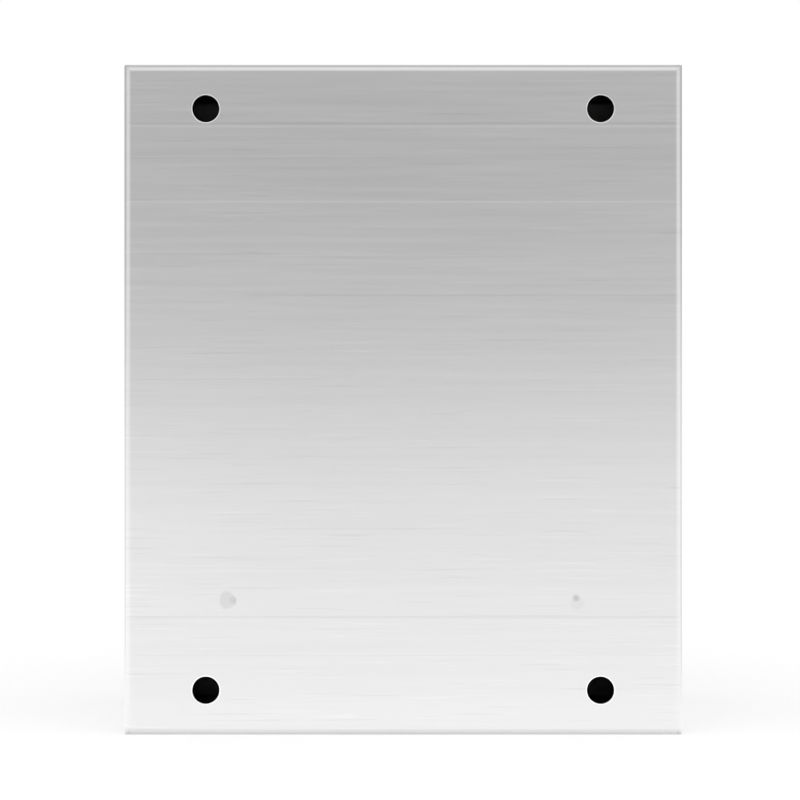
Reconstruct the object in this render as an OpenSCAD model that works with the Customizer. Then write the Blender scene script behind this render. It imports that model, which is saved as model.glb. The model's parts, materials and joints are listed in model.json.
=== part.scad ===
// Stainless steel distribution box for a wall. The body is folded from one sheet:
// back, four sides, a turned-in front rim and a turned-out sealing lip. A hinged
// door with a quarter-turn lock closes it. Inside are a mounting plate, a rail,
// a neutral and an earth bar, and a cable entry plate in the bottom.
// Millimetres. The origin is the centre of the four wall holes on the back plane,
// +Z is up, and the door faces -Y. Depth is counted from the back plane forwards.

/* [Box] */
// Outside width
box_w = 250; // [230:1:340]
// Outside height
box_h = 300; // [280:1:420]
// Depth from the wall to the front of the door
box_d = 150; // [142:1:220]
// Thickness of the stainless sheet
sheet_t = 1.2; // [1:0.1:1.5]
// Inside radius of every bend in the sheet
bend_r = 2; // [1:0.1:2.1]
// Radius ground on the welded corner seams
seam_r = 1; // [0.5:0.1:2]

/* [Wall holes] */
// Diameter of each wall hole
wall_hole_d = 12; // [8:0.5:13]
// Hole centre to the side of the box
wall_hole_inset_x = 36.75; // [30:0.25:60]
// Hole centre to the top or bottom of the box
wall_hole_inset_z = 20; // [16:0.5:24]
// Radius that the punch rolls on the outside edge of each hole
wall_hole_edge_r = 0.4; // [0.2:0.1:0.4]

/* [Rim and door] */
// Side of the box to the edge of the front opening
rim_w = 22; // [21.5:0.5:28]
// Depth of the turned-back edge of the door
door_return = 18; // [16:0.5:22]
// Gap between the door edge and the rim
door_gap = 2.5; // [2:0.1:4]
// How far the door stands inside the outline of the box on each side
door_inset = 0.5; // [0.2:0.1:1]
// Width of the foam gasket in the door
gasket_w = 12; // [9:0.5:13]
// Thickness of the foam gasket
gasket_t = 5.5; // [4:0.1:7]
// Gap left between the gasket and the sealing lip
gasket_gap = 0.3; // [0.2:0.1:0.5]

/* [Hinges] */
// Hinge axis to the side of the box
hinge_inset_x = 6; // [5.8:0.1:6.5]
// Middle of each hinge to the top or bottom of the box
hinge_inset_z = 55; // [45:1:75]
// Diameter of the hinge pins
hinge_pin_d = 5; // [4:0.1:5.2]
// Thickness of the rolled strip on the frame
hinge_strip_t = 1.5; // [1.2:0.1:1.6]
// Length of the rolled knuckle
knuckle_l = 22; // [16:1:24]
// Length of the screwed foot along the hinge
hinge_foot_l = 30; // [28:1:32]
// Spacing of the two screws in a foot
hinge_screw_pitch = 19; // [16:0.5:20]
// Thickness of the ears on the door bracket
hinge_ear_t = 2; // [1.5:0.1:2.5]
// Metal left round the pin in an ear
hinge_ear_wall = 2; // [1.5:0.1:2.2]
// Gap between turning faces
side_gap = 0.3; // [0.2:0.1:0.5]
// Radial running clearance on pins and cores
run_gap = 0.05; // [0.03:0.01:0.09]

/* [Lock] */
// Lock axis to the free side of the box
lock_inset_x = 46; // [45:1:60]
// Diameter of the threaded barrel
lock_barrel_d = 22; // [20:0.5:23]
// Depth of the two flats that stop the barrel from turning in the door
lock_barrel_flat = 1; // [0.5:0.1:1.5]
// Diameter of the outer head
lock_head_d = 28; // [27:0.5:32]
// Thickness of the outer head
lock_head_t = 3; // [2.5:0.1:5]
// Thickness of the seal ring under the head
lock_seal_t = 1; // [0.5:0.1:1.5]
// Width across flats of the lock nut
lock_nut_across = 27; // [26:0.5:28]
// Thickness of the lock nut
lock_nut_t = 5; // [4:0.5:6]
// Diameter of the turning core
lock_core_d = 14; // [12:0.5:15]
// Side of the square tail of the core
core_square = 8; // [7:0.5:9]
// Cam length from the axis to its tip
cam_l = 36; // [30:1:40]
// Width of the cam
cam_w = 16; // [13:0.5:18]
// Thickness of the cam
cam_t = 3; // [2:0.5:4]
// Gap between the cam and the back of the rim
cam_gap = 0.7; // [0.4:0.1:1.5]

/* [Mounting plate] */
// Thickness of the plate
plate_t = 2; // [1.5:0.1:3]
// Gap between the plate and the side of the front opening
plate_side_gap = 3; // [2:0.5:10]
// Gap between the plate and the edge of the wall holes
plate_hole_gap = 8; // [7:0.5:14]
// Depth of the folded-back side edges
plate_fold = 8; // [6:0.5:10]
// Height of the stud collars that carry the plate
plate_standoff = 14; // [12:1:20]
// Stud centre to the side edge of the plate
plate_stud_inset_x = 21.5; // [18:0.5:30]
// Stud centre to the top or bottom edge of the plate
plate_stud_inset_z = 26; // [18:0.5:30]
// Thread size of the plate studs
plate_stud_d = 8; // [6:1:8]
// Diameter of the stud collars
plate_collar_d = 12; // [11:0.5:14]

/* [Rail] */
// Width over the flanges
rail_w = 35; // [30:0.5:36]
// Height of the rail
rail_h = 7.5; // [6:0.5:15]
// Width over the crest
rail_crest_w = 27; // [24:0.5:28]
// Thickness of the rail
rail_t = 1; // [0.8:0.1:1.2]
// Rail axis to the top edge of the plate
rail_from_top = 71; // [60:1:76]
// Plate left bare at each end of the rail
rail_end_gap = 10; // [6:1:20]
// Length of a slot in the rail
rail_slot_l = 15; // [12:0.5:18]
// Width of a slot in the rail
rail_slot_w = 6.2; // [5.2:0.1:7]
// Distance from slot to slot
rail_slot_pitch = 25; // [22:1:30]

/* [Terminal bars] */
// Terminals on each bar
bar_terminals = 10; // [6:1:12]
// Distance from terminal to terminal
bar_pitch = 8.5; // [8:0.5:10]
// Plain length at each end of a bar
bar_end = 17; // [16:0.5:20]
// Width of a bar
bar_w = 9; // [8.5:0.5:10]
// Thickness of a bar
bar_t = 8; // [7:0.5:9]
// Diameter of a wire hole
bar_wire_d = 5; // [4:0.1:5.5]
// Height of the supports from the plate to the bar
bar_standoff = 20; // [16:1:30]
// Neutral bar axis to the bottom edge of the plate
neutral_from_bottom = 86; // [82:1:90]
// Earth bar axis to the bottom edge of the plate
earth_from_bottom = 52; // [50:1:55]

/* [Cable entry] */
// Width of the opening in the bottom
entry_w = 150; // [140:1:156]
// Depth of the opening in the bottom
entry_d = 70; // [60:1:72]
// Width of the sealed border round the opening
entry_border = 13; // [12:0.5:14]
// Gap between the back of the box and the gland plate
entry_back_gap = 16; // [12:1:18]
// Thickness of the gland gasket
entry_gasket_t = 3; // [2:0.5:4]
// Thickness of the gland plate
gland_t = 2; // [1.5:0.1:3]
// Thread size of the gland studs
gland_stud_d = 5; // [4:1:5]
// Distance between the two grommets
grommet_pitch = 60; // [50:1:80]
// Cable hole in a grommet
grommet_bore_d = 20; // [12:0.5:21]
// Hole in the gland plate for a grommet
grommet_seat_d = 27; // [26:0.5:30]
// Outside diameter of a grommet
grommet_d = 33; // [32:0.5:36]
// Thickness of the grommet rims above and below the plate
grommet_rim_t = 2; // [1.5:0.1:2.5]

/* [Earth studs] */
// Thread size of the earth studs
earth_stud_d = 6; // [5:1:6]
// Length of the earth studs
earth_stud_l = 22; // [20:1:24]
// Depth of the body stud from the back
body_earth_depth = 70; // [50:1:90]
// Height of the body stud above the bottom
body_earth_rise = 70; // [60:1:90]
// Door stud to the hinge side of the box
door_earth_inset_x = 46; // [40:1:60]
// Door stud to the bottom of the box
door_earth_inset_z = 42; // [36:1:60]

/* [Hidden] */
$fn = 64;
// Cutters reach this far past the metal they cut
over = 1;
// Radial gap between a thread and its nut, or a screw and its hole
thread_gap = 0.05;
// Radial gap of a plain clearance hole
hole_gap = 0.25;
// Depth of thread that a screw has in plastic or in the lock core
screw_bite = 8;
// Thread sizes of the small screws
hinge_screw_d = 4;
rail_screw_d = 5;
bar_screw_d = 4;
cam_screw_d = 5;

// Body: half sizes and depths
half_w = box_w / 2;
half_h = box_h / 2;
outer_r = bend_r + sheet_t;
open_half_w = half_w - rim_w;
open_half_h = half_h - rim_w;
rim_v = box_d - door_return - door_gap;
rim_back_v = rim_v - sheet_t;
door_inner_v = box_d - sheet_t;
lip_v = door_inner_v - gasket_t - gasket_gap;
wall_hole_x = half_w - wall_hole_inset_x;
wall_hole_z = half_h - wall_hole_inset_z;

// Door
door_half_w = half_w - door_inset;
door_half_h = half_h - door_inset;
gasket_mid_w = open_half_w + sheet_t / 2;
gasket_mid_h = open_half_h + sheet_t / 2;

// Hinges: the axis lies in the middle of the door's turned edge
hinge_x = hinge_inset_x - half_w;
hinge_v = box_d - door_return / 2;
hinge_z = half_h - hinge_inset_z;
pin_r = hinge_pin_d / 2;
knuckle_bore_r = pin_r + run_gap;
knuckle_r = knuckle_bore_r + hinge_strip_t;
ear_r = knuckle_bore_r + hinge_ear_wall;
hinge_to_rim = hinge_v - rim_v;
hinge_to_door = door_inner_v - hinge_v;
ear_low = knuckle_l / 2 + side_gap;
ear_top = ear_low + hinge_ear_t;
// Space between a fold or a gasket and a part seated beside it
fold_gap = 0.4;
foot_end = -(open_half_w + outer_r + fold_gap) - hinge_x;
hinge_bend_r = 1;
foot_screw_x = (knuckle_r + hinge_bend_r + foot_end) / 2;
bracket_left = -(door_half_w - outer_r - fold_gap) - hinge_x;
bracket_right = -(gasket_mid_w + gasket_w / 2 + fold_gap) - hinge_x;
// The door's turned edge is cut away round each hinge, up to this far past its axis
notch_past_axis = 4;
notch_half = max(hinge_foot_l / 2, ear_top + pin_r) + 2;

// Lock
lock_x = half_w - lock_inset_x;
cam_v = rim_back_v - cam_gap - cam_t;
barrel_v = cam_v + cam_t + side_gap;
lock_head_v = box_d + lock_seal_t;
lock_washer_t = 1;
lock_seal_d = lock_head_d - 1;
cam_washer_d = core_square + 5;
lock_flange_r = lock_core_d / 2 + 2;
lock_flange_t = 2;
key_pocket_r = lock_core_d / 2 - 2;
key_pocket_depth = 9;
key_pin_r = 2.5;
key_wing = 1.6;

// Mounting plate
plate_half_w = open_half_w - plate_side_gap;
plate_half_h = wall_hole_z - wall_hole_d / 2 - plate_hole_gap;
plate_back_v = sheet_t + plate_standoff;
plate_v = plate_back_v + plate_t;
plate_stud_x = plate_half_w - plate_stud_inset_x;
plate_stud_z = plate_half_h - plate_stud_inset_z;
// Thread that stands past the outer nut
stud_past_nut = 2;

// Rail
rail_z = plate_half_h - rail_from_top;
rail_l = 2 * (plate_half_w - rail_end_gap);
rail_bend_r = 0.8;
rail_slots = floor((rail_l - rail_slot_l) / rail_slot_pitch);
rail_slot_x = [for (i = [0 : rail_slots]) (i - rail_slots / 2) * rail_slot_pitch];
// Thread of a plate screw behind the plate
screw_past_plate = 4;

// Terminal bars
bar_l = bar_terminals * bar_pitch + 2 * bar_end;
bar_v = plate_v + bar_standoff;
bar_support_x = bar_l / 2 - bar_end / 2;
bar_support_w = 12;
bar_cheek_t = 2.5;
bar_cheek_h = 4;
bar_web_t = 3;
bar_boss_r = bar_screw_d / 2 + 2;
bar_foot_t = 4;
bar_foot_l = 10;
neutral_z = neutral_from_bottom - plate_half_h;
earth_z = earth_from_bottom - plate_half_h;

// Cable entry
entry_v = sheet_t + entry_back_gap + entry_border + entry_d / 2;
gland_half_w = entry_w / 2 + entry_border;
gland_half_d = entry_d / 2 + entry_border;
floor_z = sheet_t - half_h;
gland_z = floor_z + entry_gasket_t;
gland_top_z = gland_z + gland_t;
gland_stud_x = gland_half_w - entry_border / 2;
gland_stud_v = gland_half_d - entry_border / 2;
gland_corner_r = 4;

// Earth studs
body_earth_z = body_earth_rise - half_h;
door_earth_x = door_earth_inset_x - half_w;
door_earth_z = door_earth_inset_z - half_h;
// Thicker root of an earth stud, on which its first washer seats
earth_root_l = 4;
earth_root_d = earth_stud_d + 2;

steel = "silver";
zinc = "lightgray";
galvanised = "gainsboro";
rubber = "dimgray";
brass = "goldenrod";

// Standard sizes of small hardware from the thread size
function nut_across(d) = 1.5 * d + 1;
function nut_h(d) = 0.8 * d;
function washer_d(d) = 2 * d;
function washer_t(d) = 0.2 * d;
function head_d(d) = 1.8 * d;
function head_h(d) = 0.6 * d;

// Places children on the plane at depth v, with their Z axis towards the door
module at_depth(x, z, v) {
  translate([x, -v, z]) rotate([90, 0, 0]) children();
}

// Repeats children at the four corners of a rectangle
module four_corners(x, z) {
  for (i = [-1, 1], j = [-1, 1]) translate([i * x, j * z, 0]) children();
}

// Sheet outline from depth v0 to v1, with its corners rounded at each end
module slab_2d(half, v0, v1, r0, r1) {
  translate([-half, r1 - v1]) square([2 * half, v1 - v0 - r0 - r1]);
  for (end = [[v0 + r0, r0], [v1 - r1, r1]]) if (end[1] > 0) {
    translate([end[1] - half, -end[0] - end[1]]) square([2 * (half - end[1]), 2 * end[1]]);
    for (s = [-1, 1]) translate([s * (half - end[1]), -end[0]]) circle(end[1]);
  }
}

// Fillets in the two corners where a wall at half width x meets a face at depth v
module fillets_2d(x, v, r, towards) {
  for (s = [-1, 1]) difference() {
    translate([s * x - r, -v - r]) square(2 * r);
    translate([s * (x + r), -v - towards * r]) circle(r);
  }
}

// Rectangle with rounded corners, centred
module rounded_2d(half_x, half_y, r) {
  square([2 * half_x, 2 * (half_y - r)], center = true);
  square([2 * (half_x - r), 2 * half_y], center = true);
  four_corners(half_x - r, half_y - r) circle(r);
}

// Slot with round ends along X
module slot_2d(length, width) {
  square([length - width, width], center = true);
  for (s = [-1, 1]) translate([s * (length - width) / 2, 0]) circle(width / 2);
}

// Body outline: a wide box, then a narrower neck in front of the shoulder
module bottle_2d(half, neck, v0, v1, v2, corner_r, fillet_r) {
  slab_2d(half, v0, v1, corner_r, corner_r);
  translate([-neck, -v2]) square([2 * neck, v2 - v1 + corner_r]);
  fillets_2d(neck, v1, fillet_r, 1);
}

// Solid common to an outline seen from above and one seen from the side
module crossed(length) {
  intersection() {
    linear_extrude(height = length, center = true) children(0);
    rotate([0, 90, 0]) linear_extrude(height = length, center = true) children(1);
  }
}

// Prism that grinds the welded corner seams of a folded sheet part round
module seam_prism(half_x, half_z, v0, v1) {
  at_depth(0, 0, v0) linear_extrude(height = v1 - v0) rounded_2d(half_x, half_z, seam_r);
}

module hex_nut(d) {
  difference() {
    cylinder(h = nut_h(d), d = nut_across(d) / cos(30), $fn = 6);
    translate([0, 0, -over]) cylinder(h = nut_h(d) + 2 * over, r = d / 2 + thread_gap);
  }
}

module flat_washer(d) {
  difference() {
    cylinder(h = washer_t(d), d = washer_d(d));
    translate([0, 0, -over]) cylinder(h = washer_t(d) + 2 * over, r = d / 2 + hole_gap);
  }
}

// Pan-head screw: head above z = 0 with a cross or a single slot, shank below
module pan_screw(d, length, cross = true) {
  slot_w = 0.22 * d;
  slot_l = cross ? 1.1 * d : 2 * d;
  slot_h = 0.35 * d;
  crown_r = 1.7 * d;
  difference() {
    intersection() {
      cylinder(h = head_h(d), d = head_d(d));
      translate([0, 0, head_h(d) - crown_r]) sphere(crown_r);
    }
    for (turn = cross ? [0, 90] : [0]) rotate(turn)
      translate([-slot_l / 2, -slot_w / 2, head_h(d) - slot_h]) cube([slot_l, slot_w, slot_h + over]);
  }
  translate([0, 0, -length]) cylinder(h = length + slot_h / 2, d = d);
}

// Body folded from one sheet

module body_outer() {
  length = 2 * max(box_w, box_h);
  intersection() {
    crossed(length) {
      bottle_2d(half_w, open_half_w + sheet_t, 0, rim_v, lip_v, outer_r, bend_r);
      bottle_2d(half_h, open_half_h + sheet_t, 0, rim_v, lip_v, outer_r, bend_r);
    }
    seam_prism(half_w, half_h, -over, box_d);
  }
}

module body_void() {
  length = 2 * max(box_w, box_h);
  crossed(length) {
    bottle_2d(half_w - sheet_t, open_half_w, sheet_t, rim_back_v, box_d, bend_r, outer_r);
    bottle_2d(half_h - sheet_t, open_half_h, sheet_t, rim_back_v, box_d, bend_r, outer_r);
  }
}

// Punched hole, with its edge rolled in on the outside
module wall_hole() {
  mouth_r = wall_hole_d / 2 + wall_hole_edge_r;
  translate([0, 0, -over]) cylinder(h = sheet_t + 2 * over, d = wall_hole_d);
  rotate_extrude() difference() {
    translate([0, -over]) square([mouth_r, wall_hole_edge_r + over]);
    translate([mouth_r, wall_hole_edge_r]) circle(wall_hole_edge_r);
  }
}

// Places children at the screws of the hinge feet, on the plane at depth v
module at_hinge_screws(v) {
  for (s = [-1, 1], t = [-1, 1])
    at_depth(hinge_x + foot_screw_x, s * hinge_z + t * hinge_screw_pitch / 2, v) children();
}

module body_shell() color(steel) difference() {
  body_outer();
  body_void();
  at_depth(0, 0, 0) four_corners(wall_hole_x, wall_hole_z) wall_hole();
  at_hinge_screws(rim_back_v - over)
    cylinder(h = sheet_t + 2 * over, r = hinge_screw_d / 2 + hole_gap);
  translate([0, -entry_v, -half_h - over])
    linear_extrude(height = sheet_t + 2 * over) rounded_2d(entry_w / 2, entry_d / 2, gland_corner_r);
}

// Mounting plate on weld studs

plate_stud_stack = plate_t + washer_t(plate_stud_d) + nut_h(plate_stud_d) + stud_past_nut;

module at_plate_studs(v) {
  at_depth(0, 0, v) four_corners(plate_stud_x, plate_stud_z) children();
}

module plate_studs() color(steel) at_plate_studs(sheet_t) {
  cylinder(h = plate_standoff, d = plate_collar_d);
  cylinder(h = plate_standoff + plate_stud_stack, d = plate_stud_d);
}

module mounting_plate() color(galvanised) difference() {
  linear_extrude(height = 2 * plate_half_h, center = true) difference() {
    slab_2d(plate_half_w, plate_v - plate_fold, plate_v, 0, bend_r + plate_t);
    slab_2d(plate_half_w - plate_t, plate_v - plate_fold - over, plate_back_v, 0, bend_r);
  }
  at_plate_studs(plate_back_v - over)
    cylinder(h = plate_t + 2 * over, r = plate_stud_d / 2 + hole_gap);
  at_rail_screws(plate_back_v - over)
    cylinder(h = plate_t + 2 * over, r = rail_screw_d / 2 + thread_gap);
  at_support_screws(plate_back_v - over)
    cylinder(h = plate_t + 2 * over, r = bar_screw_d / 2 + thread_gap);
}

module plate_washers() color(zinc) at_plate_studs(plate_v) flat_washer(plate_stud_d);

module plate_nuts() color(zinc)
  at_plate_studs(plate_v + washer_t(plate_stud_d)) hex_nut(plate_stud_d);

// Rail

module at_rail_screws(v) {
  for (x = [rail_slot_x[0], rail_slot_x[rail_slots]]) at_depth(x, rail_z, v) children();
}

module rail_2d() {
  crest = rail_crest_w / 2;
  difference() {
    union() {
      slab_2d(crest, 0, rail_h, rail_bend_r + rail_t, 0);
      slab_2d(rail_w / 2, rail_h - rail_t, rail_h, 0, 0);
      fillets_2d(crest, rail_h - rail_t, rail_bend_r, -1);
    }
    slab_2d(crest - rail_t, rail_t, rail_h + 2 * (rail_bend_r + rail_t), rail_bend_r, 0);
    fillets_2d(crest - rail_t, rail_h, rail_bend_r + rail_t, -1);
  }
}

module din_rail() color(zinc) difference() {
  translate([0, -plate_v, rail_z]) rotate([0, 90, 0])
    linear_extrude(height = rail_l, center = true) rail_2d();
  for (x = rail_slot_x) at_depth(x, rail_z, plate_v - over)
    linear_extrude(height = rail_t + 2 * over) slot_2d(rail_slot_l, rail_slot_w);
}

module rail_screws() color(zinc) at_rail_screws(plate_v + rail_t)
  pan_screw(rail_screw_d, rail_t + plate_t + screw_past_plate);

// Neutral and earth bars

module at_bar_ends(z, v) {
  for (s = [-1, 1]) at_depth(s * bar_support_x, z, v) children();
}

module at_terminals(z, v) {
  for (i = [0 : bar_terminals - 1])
    at_depth((i - (bar_terminals - 1) / 2) * bar_pitch, z, v) children();
}

// Screw of a support, in the foot below the bar
module at_support_screws(v) {
  foot_z = bar_w / 2 + bar_cheek_t + bar_foot_l / 2;
  for (z = [neutral_z, earth_z]) at_bar_ends(z - foot_z, v) children();
}

module terminal_bar(z) {
  difference() {
    at_depth(0, z, bar_v) linear_extrude(height = bar_t) square([bar_l, bar_w], center = true);
    at_terminals(z - bar_w / 2 - over, bar_v + bar_t / 2)
      rotate([-90, 0, 0]) cylinder(h = bar_w + 2 * over, d = bar_wire_d);
    at_terminals(z, bar_v + bar_t / 2) cylinder(h = bar_t, r = bar_screw_d / 2 + thread_gap);
    at_bar_ends(z, bar_v - over) cylinder(h = bar_t + 2 * over, r = bar_screw_d / 2 + thread_gap);
  }
}

module bar_screws(z) {
  grip = (bar_t - bar_wire_d) / 2;
  lift = 0.8;
  at_terminals(z, bar_v + bar_t + lift) pan_screw(bar_screw_d, grip + lift, cross = false);
  at_bar_ends(z, bar_v + bar_t) pan_screw(bar_screw_d, bar_t + screw_bite);
}

// Hollows in both sides of a support, which leave a web, two cheeks and the screw boss
module support_hollows() {
  depth = (bar_support_w - bar_web_t) / 2 + over;
  difference() {
    for (s = [-1, 1])
      translate([s * (bar_web_t + depth) / 2 - depth / 2, -bar_w / 2, bar_foot_t])
        cube([depth, bar_w, bar_standoff - bar_foot_t - bar_cheek_t]);
    cylinder(h = bar_standoff, r = bar_boss_r);
  }
}

module bar_supports(z) {
  half = bar_w / 2 + bar_cheek_t;
  at_bar_ends(z, plate_v) difference() {
    union() {
      translate([-bar_support_w / 2, -half, 0])
        cube([bar_support_w, 2 * half, bar_standoff + bar_cheek_h]);
      linear_extrude(height = bar_foot_t) {
        translate([-bar_support_w / 2, -half - bar_foot_l + bar_support_w / 2])
          square([bar_support_w, bar_foot_l]);
        translate([0, -half - bar_foot_l + bar_support_w / 2]) circle(bar_support_w / 2);
      }
    }
    translate([-bar_support_w, -bar_w / 2, bar_standoff]) cube([2 * bar_support_w, bar_w, bar_t]);
    support_hollows();
    translate([0, 0, bar_standoff - screw_bite - over])
      cylinder(h = screw_bite + 2 * over, r = bar_screw_d / 2 + thread_gap);
    translate([0, -half - bar_foot_l / 2, -over])
      cylinder(h = bar_foot_t + 2 * over, r = bar_screw_d / 2 + hole_gap);
  }
}

module neutral_bar() color(brass) terminal_bar(neutral_z);
module neutral_bar_screws() color(zinc) bar_screws(neutral_z);
module neutral_bar_supports() color("royalblue") bar_supports(neutral_z);
module earth_bar() color(brass) terminal_bar(earth_z);
module earth_bar_screws() color(zinc) bar_screws(earth_z);
module earth_bar_supports() color("seagreen") bar_supports(earth_z);
module bar_support_screws() color(zinc) at_support_screws(plate_v + bar_foot_t)
  pan_screw(bar_screw_d, bar_foot_t + plate_t + screw_past_plate);

// Cable entry in the bottom

module at_gland_studs(z) {
  for (x = [-gland_stud_x, 0, gland_stud_x], s = [-1, 1])
    translate([x, s * gland_stud_v - entry_v, z]) children();
}

module at_grommet(side, z) {
  translate([side * grommet_pitch / 2, -entry_v, z]) children();
}

module gland_sheet(z, thickness) {
  difference() {
    translate([0, -entry_v, z])
      linear_extrude(height = thickness) rounded_2d(gland_half_w, gland_half_d, gland_corner_r);
    at_gland_studs(z - over) cylinder(h = thickness + 2 * over, r = gland_stud_d / 2 + hole_gap);
  }
}

module gland_gasket() color(rubber) difference() {
  gland_sheet(floor_z, entry_gasket_t);
  translate([0, -entry_v, floor_z - over]) linear_extrude(height = entry_gasket_t + 2 * over)
    rounded_2d(entry_w / 2, entry_d / 2, gland_corner_r);
}

module gland_plate() color(steel) difference() {
  gland_sheet(gland_z, gland_t);
  for (s = [-1, 1]) at_grommet(s, gland_z - over) cylinder(h = gland_t + 2 * over, d = grommet_seat_d);
}

gland_stud_l = entry_gasket_t + gland_t + washer_t(gland_stud_d) + nut_h(gland_stud_d) + stud_past_nut;

module gland_studs() color(steel) at_gland_studs(floor_z) cylinder(h = gland_stud_l, d = gland_stud_d);

module gland_washers() color(zinc) at_gland_studs(gland_top_z) flat_washer(gland_stud_d);

module gland_nuts() color(zinc)
  at_gland_studs(gland_top_z + washer_t(gland_stud_d)) hex_nut(gland_stud_d);

// Ring grommet: two rims and a groove that grips the gland plate
module grommet() {
  low = -grommet_rim_t;
  high = gland_t + grommet_rim_t;
  bore = grommet_bore_d / 2;
  rim = grommet_d / 2;
  seat = grommet_seat_d / 2;
  ease = grommet_rim_t / 2;
  rotate_extrude() polygon([
    [bore, low], [rim - ease, low], [rim, low + ease], [rim, 0], [seat, 0],
    [seat, gland_t], [rim, gland_t], [rim, high - ease], [rim - ease, high], [bore, high]
  ]);
}

module cable_grommet_left() color(rubber) at_grommet(-1, gland_z) grommet();
module cable_grommet_right() color(rubber) at_grommet(1, gland_z) grommet();

// Earthing studs, each with two washers and two nuts

module earth_stud() {
  cylinder(h = earth_stud_l, d = earth_stud_d);
  cylinder(h = earth_root_l, d = earth_root_d);
}

module earth_washers() {
  step = washer_t(earth_stud_d) + nut_h(earth_stud_d);
  for (i = [0, 1]) translate([0, 0, earth_root_l + i * step]) flat_washer(earth_stud_d);
}

module earth_nuts() {
  washer = washer_t(earth_stud_d);
  step = washer + nut_h(earth_stud_d);
  for (i = [0, 1]) translate([0, 0, earth_root_l + washer + i * step]) hex_nut(earth_stud_d);
}

module at_body_earth() {
  translate([sheet_t - half_w, -body_earth_depth, body_earth_z]) rotate([0, 90, 0]) children();
}

module at_door_earth() {
  at_depth(door_earth_x, door_earth_z, door_inner_v) rotate([180, 0, 0]) children();
}

module body_earth_stud() color(steel) at_body_earth() earth_stud();
module body_earth_washers() color(zinc) at_body_earth() earth_washers();
module body_earth_nuts() color(brass) at_body_earth() earth_nuts();
module door_earth_stud() color(steel) at_door_earth() earth_stud();
module door_earth_washers() color(zinc) at_door_earth() earth_washers();
module door_earth_nuts() color(brass) at_door_earth() earth_nuts();

// Concealed hinges between the door's turned edge and the sealing lip

module at_hinge(side) {
  translate([hinge_x, -hinge_v, side * hinge_z]) children();
}

// Strip rolled round the pin, then bent out into a foot on the rim
module hinge_frame_bracket(side) {
  web = knuckle_r - hinge_strip_t;
  turn_r = hinge_bend_r + hinge_strip_t;
  turn_x = web + turn_r;
  turn_y = hinge_to_rim - turn_r;
  at_hinge(side) difference() {
    union() {
      linear_extrude(height = knuckle_l, center = true) {
        circle(knuckle_r);
        translate([web, 0]) square([hinge_strip_t, turn_y]);
        intersection() {
          difference() {
            translate([turn_x, turn_y]) circle(turn_r);
            translate([turn_x, turn_y]) circle(turn_r - hinge_strip_t);
          }
          translate([web, turn_y]) square(turn_r);
        }
      }
      translate([turn_x, hinge_to_rim - hinge_strip_t, -hinge_foot_l / 2])
        cube([foot_end - turn_x, hinge_strip_t, hinge_foot_l]);
    }
    cylinder(h = knuckle_l + 2 * over, r = knuckle_bore_r, center = true);
    for (t = [-1, 1]) translate([foot_screw_x, hinge_to_rim + over, t * hinge_screw_pitch / 2])
      rotate([90, 0, 0]) cylinder(h = hinge_strip_t + 2 * over, r = hinge_screw_d / 2 + hole_gap);
  }
}

// Base welded inside the door, with an ear above and one below the knuckle
module hinge_door_bracket(side) {
  at_hinge(side) difference() {
    union() {
      translate([bracket_left, -hinge_to_door, -ear_top])
        cube([bracket_right - bracket_left, hinge_strip_t, 2 * ear_top]);
      for (z = [-ear_top, ear_low]) translate([0, 0, z]) linear_extrude(height = hinge_ear_t) {
        circle(ear_r);
        translate([bracket_left, -hinge_to_door]) square([ear_r - bracket_left, hinge_to_door]);
      }
    }
    cylinder(h = 2 * ear_top + 2 * over, r = knuckle_bore_r, center = true);
  }
}

// Pin with a flat head above the upper ear
module hinge_pin(side) {
  head_t = 1.5;
  head_r = knuckle_r;
  tail = 1.5;
  at_hinge(side) {
    translate([0, 0, -ear_top - tail]) cylinder(h = 2 * ear_top + tail + side_gap, r = pin_r);
    translate([0, 0, ear_top + side_gap]) cylinder(h = head_t, r = head_r);
  }
}

module hinge_frame_bracket_upper() color(steel) hinge_frame_bracket(1);
module hinge_frame_bracket_lower() color(steel) hinge_frame_bracket(-1);
module hinge_door_bracket_upper() color(steel) hinge_door_bracket(1);
module hinge_door_bracket_lower() color(steel) hinge_door_bracket(-1);
module hinge_pin_upper() color(zinc) hinge_pin(1);
module hinge_pin_lower() color(zinc) hinge_pin(-1);

hinge_screw_l = hinge_strip_t + sheet_t + nut_h(hinge_screw_d) + stud_past_nut;

module hinge_screws() color(zinc) at_hinge_screws(rim_v + hinge_strip_t) pan_screw(hinge_screw_d, hinge_screw_l);

module hinge_nuts() color(zinc) at_hinge_screws(rim_back_v - nut_h(hinge_screw_d)) hex_nut(hinge_screw_d);

// Door: a shallow pan with turned-back edges

module door_panel() color(steel) {
  length = 2 * max(box_w, box_h);
  edge_v = box_d - door_return;
  difference() {
    intersection() {
      crossed(length) {
        slab_2d(door_half_w, edge_v, box_d, 0, outer_r);
        slab_2d(door_half_h, edge_v, box_d, 0, outer_r);
      }
      seam_prism(door_half_w, door_half_h, edge_v - over, box_d + over);
    }
    crossed(length) {
      slab_2d(door_half_w - sheet_t, edge_v - over, door_inner_v, 0, bend_r);
      slab_2d(door_half_h - sheet_t, edge_v - over, door_inner_v, 0, bend_r);
    }
    for (s = [-1, 1])
      translate([-door_half_w - over, -hinge_v - notch_past_axis, s * hinge_z - notch_half])
        cube([sheet_t + 2 * over, hinge_v + notch_past_axis - edge_v + over, 2 * notch_half]);
    at_lock(door_inner_v - over) linear_extrude(height = sheet_t + 2 * over) barrel_2d(hole_gap);
  }
}

module door_gasket() color(rubber) at_depth(0, 0, door_inner_v - gasket_t)
  linear_extrude(height = gasket_t) difference() {
    rounded_2d(gasket_mid_w + gasket_w / 2, gasket_mid_h + gasket_w / 2, gasket_w / 2);
    square([2 * gasket_mid_w - gasket_w, 2 * gasket_mid_h - gasket_w], center = true);
  }

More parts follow.
